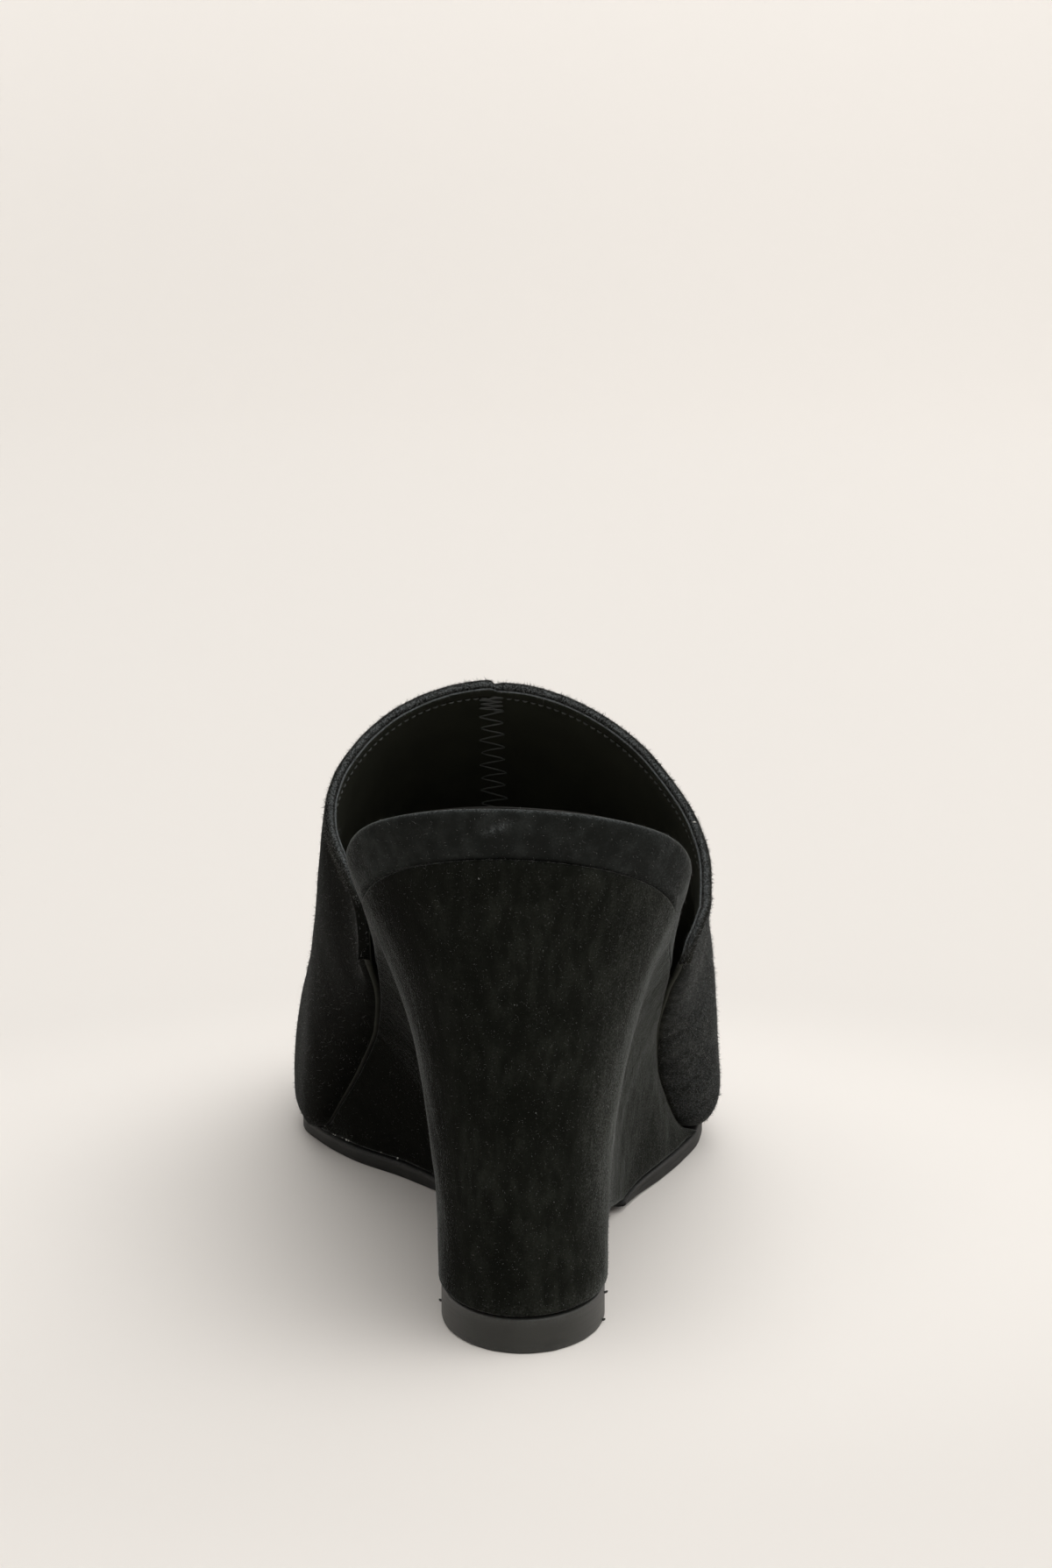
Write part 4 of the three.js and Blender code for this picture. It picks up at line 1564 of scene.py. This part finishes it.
@dataclass
class Outsole(Part):
    """The thin forefoot sole, skived off at the waist, its upper edge rounded."""

    lower_round: float = 0.7
    upper_round: float = 1.0
    edge_dust: float = 0.55
    lower_share: float = 0.24  # of the sole's thickness, taken by the lower edge
    upper_share: float = 0.64  # of the sole's thickness, where the upper edge starts to round
    body_rows: int = 80
    nose_rows: int = 30
    face_steps: int = 12

    def skin(self) -> Skin:
        """The closed sole, from the underside's middle out, up and back in, on both sides.

        Returns:
            The sheet with its marks.
        """
        last = self.last
        turn = arc(0, 90, 5)
        low, high = self.lower_share, self.upper_share
        inset, height, spread = section_parts(
            (self.lower_round, 0, np.linspace(0, 1, self.face_steps + 1)[:-1]),
            (self.lower_round * (1 - np.sin(turn)), low * (1 - np.cos(turn)), 1),
            (0, np.linspace(low, high, 4)[1:-1], 1),
            (self.upper_round * (1 - np.cos(turn)), mix(high, 1, np.sin(turn)), 1),
            (self.upper_round, 1, np.linspace(1, 0, self.face_steps + 1)[1:]),
        )
        inset, height, spread = (part[:, None] for part in (inset, height, spread))
        tip = last.toe_y - last.toe_tuck + 1 - inset
        body = np.linspace(last.outsole_back, last.nose_y, self.body_rows + 1)[None, :]
        nose = mix(last.nose_y, tip, np.sin(arc(0, 90, self.nose_rows)[None, 1:]))
        y = np.concatenate([np.broadcast_to(body, (len(inset), body.shape[1])), nose], axis=1)
        shape = closing(y, last.nose_y, tip, last.nose_power)

        def one_side(side: float) -> tuple[Array, Array]:
            """Makes the columns of one side.

            Args:
                side: -1 medial, 1 lateral.

            Returns:
                Their points and the mark of dust along the upper edge.
            """
            half = (last.half("base", side, y) - inset) * shape
            x = last.line("axis", y) + side * half * spread
            z = last.line("tread", y) + height * last.line("sole", y)
            dusty = self.edge_dust * hump(height - 0.92, 0.07) * (spread == 1) + 0 * y
            return np.stack([x, y, z], axis=-1), dusty

        points, highlight_and_dust = both_sides(one_side)
        return Skin(last, points, {"highlight_and_dust": highlight_and_dust})

    def build(self) -> None:
        """Builds and dresses the outsole."""
        rubber = self.finishes.sole.material()
        add_piece("outsole_rubber", self.skin().sheet(), [rubber], ["outsole"])


@dataclass
class HeelLift(Part):
    """The heel's rubber top piece: a ground slab with a few small burrs left on its edge."""

    inset: float = 0.5
    height: float = 6.0
    edge_round: float = 0.45
    corner: float = 1.2  # radius of the two front corners
    around_steps: int = 60
    side_steps: int = 8
    wear: Waves = ((0.1, 3.5, 31),)
    upper_dust: float = 0.3  # how dusty the two edges are
    lower_dust: float = 0.25
    # Each burr's share of the way round the back, its height and its length.
    burr_places: tuple[Place, ...] = (
        (0.965, 4.6, 0.75),
        (0.03, 2.4, 0.55),
        (0.93, 0.5, 0.5),
    )

    def outline(self, inset: Array) -> Array:
        """Plan of the slab, moved inwards.

        Args:
            inset: How far inwards each row lies.

        Returns:
            x and y of every place round the edge and every row.
        """
        last = self.last
        half = (last.line("base_medial", 0) + last.line("base_lateral", 0)) / 2 - self.inset
        middle = (last.line("base_lateral", 0) - last.line("base_medial", 0)) / 2 + last.line("axis", 0)
        front = last.heel_length - self.inset
        around = arc(180, 360, self.around_steps)
        back_x = half * np.cos(around)
        back_y = last.heel_round + (last.heel_round - self.inset) * np.sin(around)
        corner = arc(0, 90, 5)
        right_x = half - self.corner + self.corner * np.cos(corner)
        right_y = front - self.corner + self.corner * np.sin(corner)
        x = np.concatenate([back_x, right_x, -right_x[::-1], back_x[:1]]) + middle
        y = np.concatenate([back_y, right_y, right_y[::-1], back_y[:1]])
        loop = np.stack([x, y], axis=-1)
        ahead = unit(np.roll(loop[:-1], -1, axis=0) - np.roll(loop[:-1], 1, axis=0))
        outward = np.stack([ahead[:, 1], -ahead[:, 0]], axis=-1)
        outward = np.concatenate([outward, outward[:1]])
        return loop[:, None] - outward[:, None] * inset[None, :, None]

    def skin(self) -> Skin:
        """The closed slab: its side as a ring of rows, its faces filled flat.

        Returns:
            The sheet with its marks.
        """
        turn = arc(0, 90, 4)
        cut = self.edge_round
        inset, height = section_parts(
            (cut * (1 - np.sin(turn)), cut * (1 - np.cos(turn))),
            (0, np.linspace(cut, self.height - cut, self.side_steps + 1)[1:-1]),
            (cut * (1 - np.cos(turn)), self.height - cut * (1 - np.sin(turn))),
        )
        plan = self.outline(inset)
        z = np.broadcast_to(height[None, :], plan.shape[:2])
        points = np.concatenate([plan, z[..., None]], axis=-1)
        points[..., 1] += uneven(points, self.wear) * hump(z - 0.4, 1.0)
        highlight_and_dust = self.upper_dust * hump(z - self.height, 1.2) + self.lower_dust * hump(z, 0.8)
        points[-1], highlight_and_dust[-1] = points[0], highlight_and_dust[0]
        return Skin(self.last, points, {"highlight_and_dust": highlight_and_dust})

    def burrs(self) -> bpy.types.Mesh:
        """Little curls of rubber left by the grinding.

        Returns:
            One mesh of all the curls.
        """
        plan = self.outline(np.zeros(1))[:, 0]
        middle = plan[:-1].mean(axis=0)
        runs = []
        for share, z, reach in self.burr_places:
            foot = plan[int(share * self.around_steps)]
            away = unit(foot - middle)
            steps = np.linspace(-0.3, 1, 7)[:, None]
            path = np.concatenate([foot + away * reach * steps, z + 0.25 * steps**2], axis=1)
            runs.append(self.last.to_frame(path))
        return thread_mesh("lift_burrs", runs, 0.22 * MILLIMETRE)

    def build(self) -> None:
        """Builds and dresses the lift and its burrs."""
        rubber = self.finishes.lift.material()
        add_piece("heel_lift_rubber", self.skin().sheet(), [rubber], ["heel_lift"])
        add_piece("lift_burrs", self.burrs(), [rubber])


# ---- Stitching ----------------------------------------------------------------------------------


@dataclass
class Stitching:
    """The threads that show on the lining: a row under the topline and a zigzag down the seam."""

    upper: Upper
    finishes: Finishes
    thread: float = 0.17  # radius
    pitch: float = 1.6
    length: float = 1.2
    zigzag_width: float = 4.2
    zigzag_x: float = -6.9
    zigzag_pitch: float = 5.0
    tack_pitch: float = 1.9
    zigzag_reach: Span = (120.5, 170.0)
    tack_reach: Span = (116.2, 121.5)
    slope: float = 1.24  # length along the lining for each millimetre of station
    swing_points: int = 28  # along each swing of the zigzag

    def topline_path(self) -> tuple[Array, Array]:
        """Evenly stepped line under the topline on the lining.

        Returns:
            The line's points, and at each the way into the foot's space.
        """
        upper, inset = self.upper, self.upper.last.wall
        side, tuck, turn, _ = upper.columns()
        keep = tuck == 1
        side, tuck, turn = side[keep], tuck[keep], turn[keep]
        start = upper.topline(side, tuck, turn, inset) + upper.fold_height
        edge = upper.point(side, tuck, turn, start, inset)
        ahead = upper.point(side, tuck, turn, start + 1.0, inset) - edge
        along = unit(np.gradient(edge, axis=0))
        down = ahead - along * (ahead * along).sum(axis=1, keepdims=True)
        reach = upper.stitch_inset / np.linalg.norm(down, axis=1)
        line = upper.point(side, tuck, turn, start + reach, inset)
        inward = unit(np.cross(along, ahead))
        outer = upper.point(side, tuck, turn, start + reach, 0.0)
        inward *= np.sign((inward * (line - outer)).sum(axis=1, keepdims=True))
        return line, inward

    def dashes(self) -> list[Array]:
        """Sews the row under the topline, every stitch dipping into the leather at its ends.

        Returns:
            The path of each stitch.
        """
        line, inward = self.topline_path()
        steps = np.concatenate([[0], np.cumsum(np.linalg.norm(np.diff(line, axis=0), axis=1))])
        runs = []
        for start in np.arange(3.0, steps[-1] - 3.0, self.pitch):
            at = np.linspace(start, start + self.length, 7)
            place = np.stack([np.interp(at, steps, line[:, k]) for k in range(3)], axis=-1)
            away = np.stack([np.interp(at, steps, inward[:, k]) for k in range(3)], axis=-1)
            lift = np.sin(np.linspace(0, math.pi, 7)) * 0.2 - 0.12
            runs.append(place + away * lift[:, None])
        return runs

    def zigzag(self) -> list[Array]:
        """One long thread swinging across the seam, and the dense tack at its top.

        Returns:
            The path of each stretch.
        """
        runs = []
        stretches = (*self.zigzag_reach, self.zigzag_pitch), (*self.tack_reach, self.tack_pitch)
        for start, end, pitch in stretches:
            swings = (end - start) * self.slope / pitch
            share = np.linspace(0, 1, int(swings * self.swing_points))
            wave = np.arcsin(0.86 * np.sin(2 * math.pi * swings * share)) / math.asin(0.86)
            wave = wave * (1 + 0.09 * np.sin(9.7 * swings * share))
            y = mix(start, end, share)
            offset = wave * self.zigzag_width / 2 + self.zigzag_x - self.upper.last.line("ridge_x", y)
            place, inward = self.upper.lining_point(np.where(np.abs(offset) < 1e-3, 1e-3, offset), y)
            runs.append(place + inward * (0.12 + 0.05 * np.cos(4 * math.pi * swings * share))[:, None])
        return runs

    def build(self) -> None:
        """Builds and dresses the threads."""
        finish = self.finishes.thread.material()
        for name, runs in (("topline_stitches", self.dashes()), ("seam_zigzag", self.zigzag())):
            runs = [self.upper.last.to_frame(run) for run in runs]
            add_piece(name, thread_mesh(name, runs, self.thread * MILLIMETRE), [finish])


# ---- Surroundings -------------------------------------------------------------------------------


@dataclass
class Studio:
    """Pale ground that curves up all round, soft light from the right, and the camera."""

    ground: Colour = (0.85, 0.82, 0.79)
    radius: float = 3.2
    cove: float = 1.6
    wall: float = 0.3
    camera_place: Place = (0.0, -0.616, 0.185)
    camera_pitch: float = 8.5
    camera_lens: float = 85.0
    sun_strength: float = 2.9
    sun_size: float = 130.0  # degrees
    sun_from: Place = (1.0, -0.1, 1.0)
    sky: Colour = (1.0, 0.985, 0.955)
    sky_strength: float = 0.4
    # Painted light on the paper: a glow up its wall, shade to the left and light under the shoe.
    wall_glow: float = 0.2
    left_shade_gain: float = 0.9
    middle: Place = (0.0, 0.09, 0.0)
    middle_light_gain: float = 1.08
    bowl_steps: int = 96

    def paper(self) -> bpy.types.Material:
        """Pale matt paper, with painted shade to the left, painted light under the shoe and a faint painted
        glow up its wall.

        Returns:
            The material.
        """
        shader = Shader("studio_ground")
        shaded_paper, lit_paper, glow = (
            tuple(channel * gain for channel in self.ground)
            for gain in (self.left_shade_gain, self.middle_light_gain, self.wall_glow)
        )
        across, height = (
            shader.node("ShaderNodeSeparateXYZ", {}, {"Vector": shader.place()}, axis) for axis in "XZ"
        )
        inputs = {0: shader.place(), 1: self.middle}
        away = shader.node("ShaderNodeVectorMath", {"operation": "DISTANCE"}, inputs, "Value")
        colour = shader.blend(across.rise(-0.7, 0.7), shaded_paper, self.ground)
        shaded = height.rise(0.0, 0.9) * across.rise(-3.6, -0.6)
        return shader.finish(
            Base_Color=shader.blend(away.rise(0.09, 0.2), lit_paper, colour),
            Emission_Color=shader.blend(shaded, (0.0, 0.0, 0.0), glow),
            Emission_Strength=1.0,
            Roughness=0.9,
            Specular_IOR_Level=0.1,
        )

    def floor(self) -> None:
        """A wide bowl: flat ground, a cove and a wall, spun round the middle."""
        turn = arc(-90, 0, 16)
        profile = [(0.0, 0.0)]
        profile += [(self.radius + self.cove * math.cos(a), self.cove * (1 + math.sin(a))) for a in turn]
        profile += [(self.radius + self.cove, self.cove + self.wall)]
        bowl = bmesh.new()
        verts = [bowl.verts.new((x, 0.0, z)) for x, z in profile]
        edges = [bowl.edges.new(pair) for pair in zip(verts, verts[1:])]
        bmesh.ops.spin(
            bowl,
            geom=[*verts, *edges],
            cent=(0, 0, 0),
            axis=(0, 0, 1),
            angle=2 * math.pi,
            steps=self.bowl_steps,
            use_merge=True,
            dvec=(0, 0, 0),
        )
        bmesh.ops.remove_doubles(bowl, verts=bowl.verts, dist=1e-5)
        bmesh.ops.recalc_face_normals(bowl, faces=bowl.faces)
        mesh = bpy.data.meshes.new("studio_ground")
        bowl.to_mesh(mesh)
        bowl.free()
        mesh.flip_normals()
        mesh.shade_smooth()
        mesh.materials.append(self.paper())
        linked("studio_ground", mesh)

    def lights(self) -> None:
        """A broad soft sun from the right and above, and an even sky."""
        sun = bpy.data.lights.new("window", "SUN")
        sun.energy = self.sun_strength
        sun.angle = math.radians(self.sun_size)
        sun.color = (1.0, 0.985, 0.96)
        lamp = linked("window", sun)
        lamp.rotation_mode = "QUATERNION"
        lamp.rotation_quaternion = Vector(self.sun_from).to_track_quat("Z", "Y")
        world = bpy.data.worlds.new("sky")
        world.use_nodes = True
        backdrop = world.node_tree.nodes["Background"]
        backdrop.inputs["Color"].default_value = (*self.sky, 1.0)
        backdrop.inputs["Strength"].default_value = self.sky_strength
        bpy.context.scene.world = world

    def camera(self) -> None:
        """The camera, low behind the heel."""
        data = bpy.data.cameras.new("camera")
        data.lens = self.camera_lens
        data.clip_end = 50.0
        camera = linked("camera", data)
        camera.location = self.camera_place
        camera.rotation_euler = (math.radians(90 - self.camera_pitch), 0, 0)
        bpy.context.scene.camera = camera

    def build(self) -> None:
        """Builds the surroundings."""
        self.floor()
        self.lights()
        self.camera()
        bpy.context.scene.view_settings.view_transform = "Standard"


# ---- The shoe -----------------------------------------------------------------------------------


def corners(box: tuple[Vector, Vector]) -> list[list[float]]:
    """A box's two corners as plain numbers."""
    return [[round(value, 5) for value in corner] for corner in box]


def main() -> None:
    """Builds the shoe and its surroundings."""
    logging.basicConfig(level=logging.INFO, format="%(name)s %(message)s")
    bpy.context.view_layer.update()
    last, finishes = Last(), Finishes()
    upper = Upper(last, finishes)
    for part in (
        upper,
        Insole(last, finishes),
        Wedge(last, finishes),
        Outsole(last, finishes),
        HeelLift(last, finishes),
        Stitching(upper, finishes),
        Studio(),
    ):
        part.build()


if __name__ == "__main__":
    main()
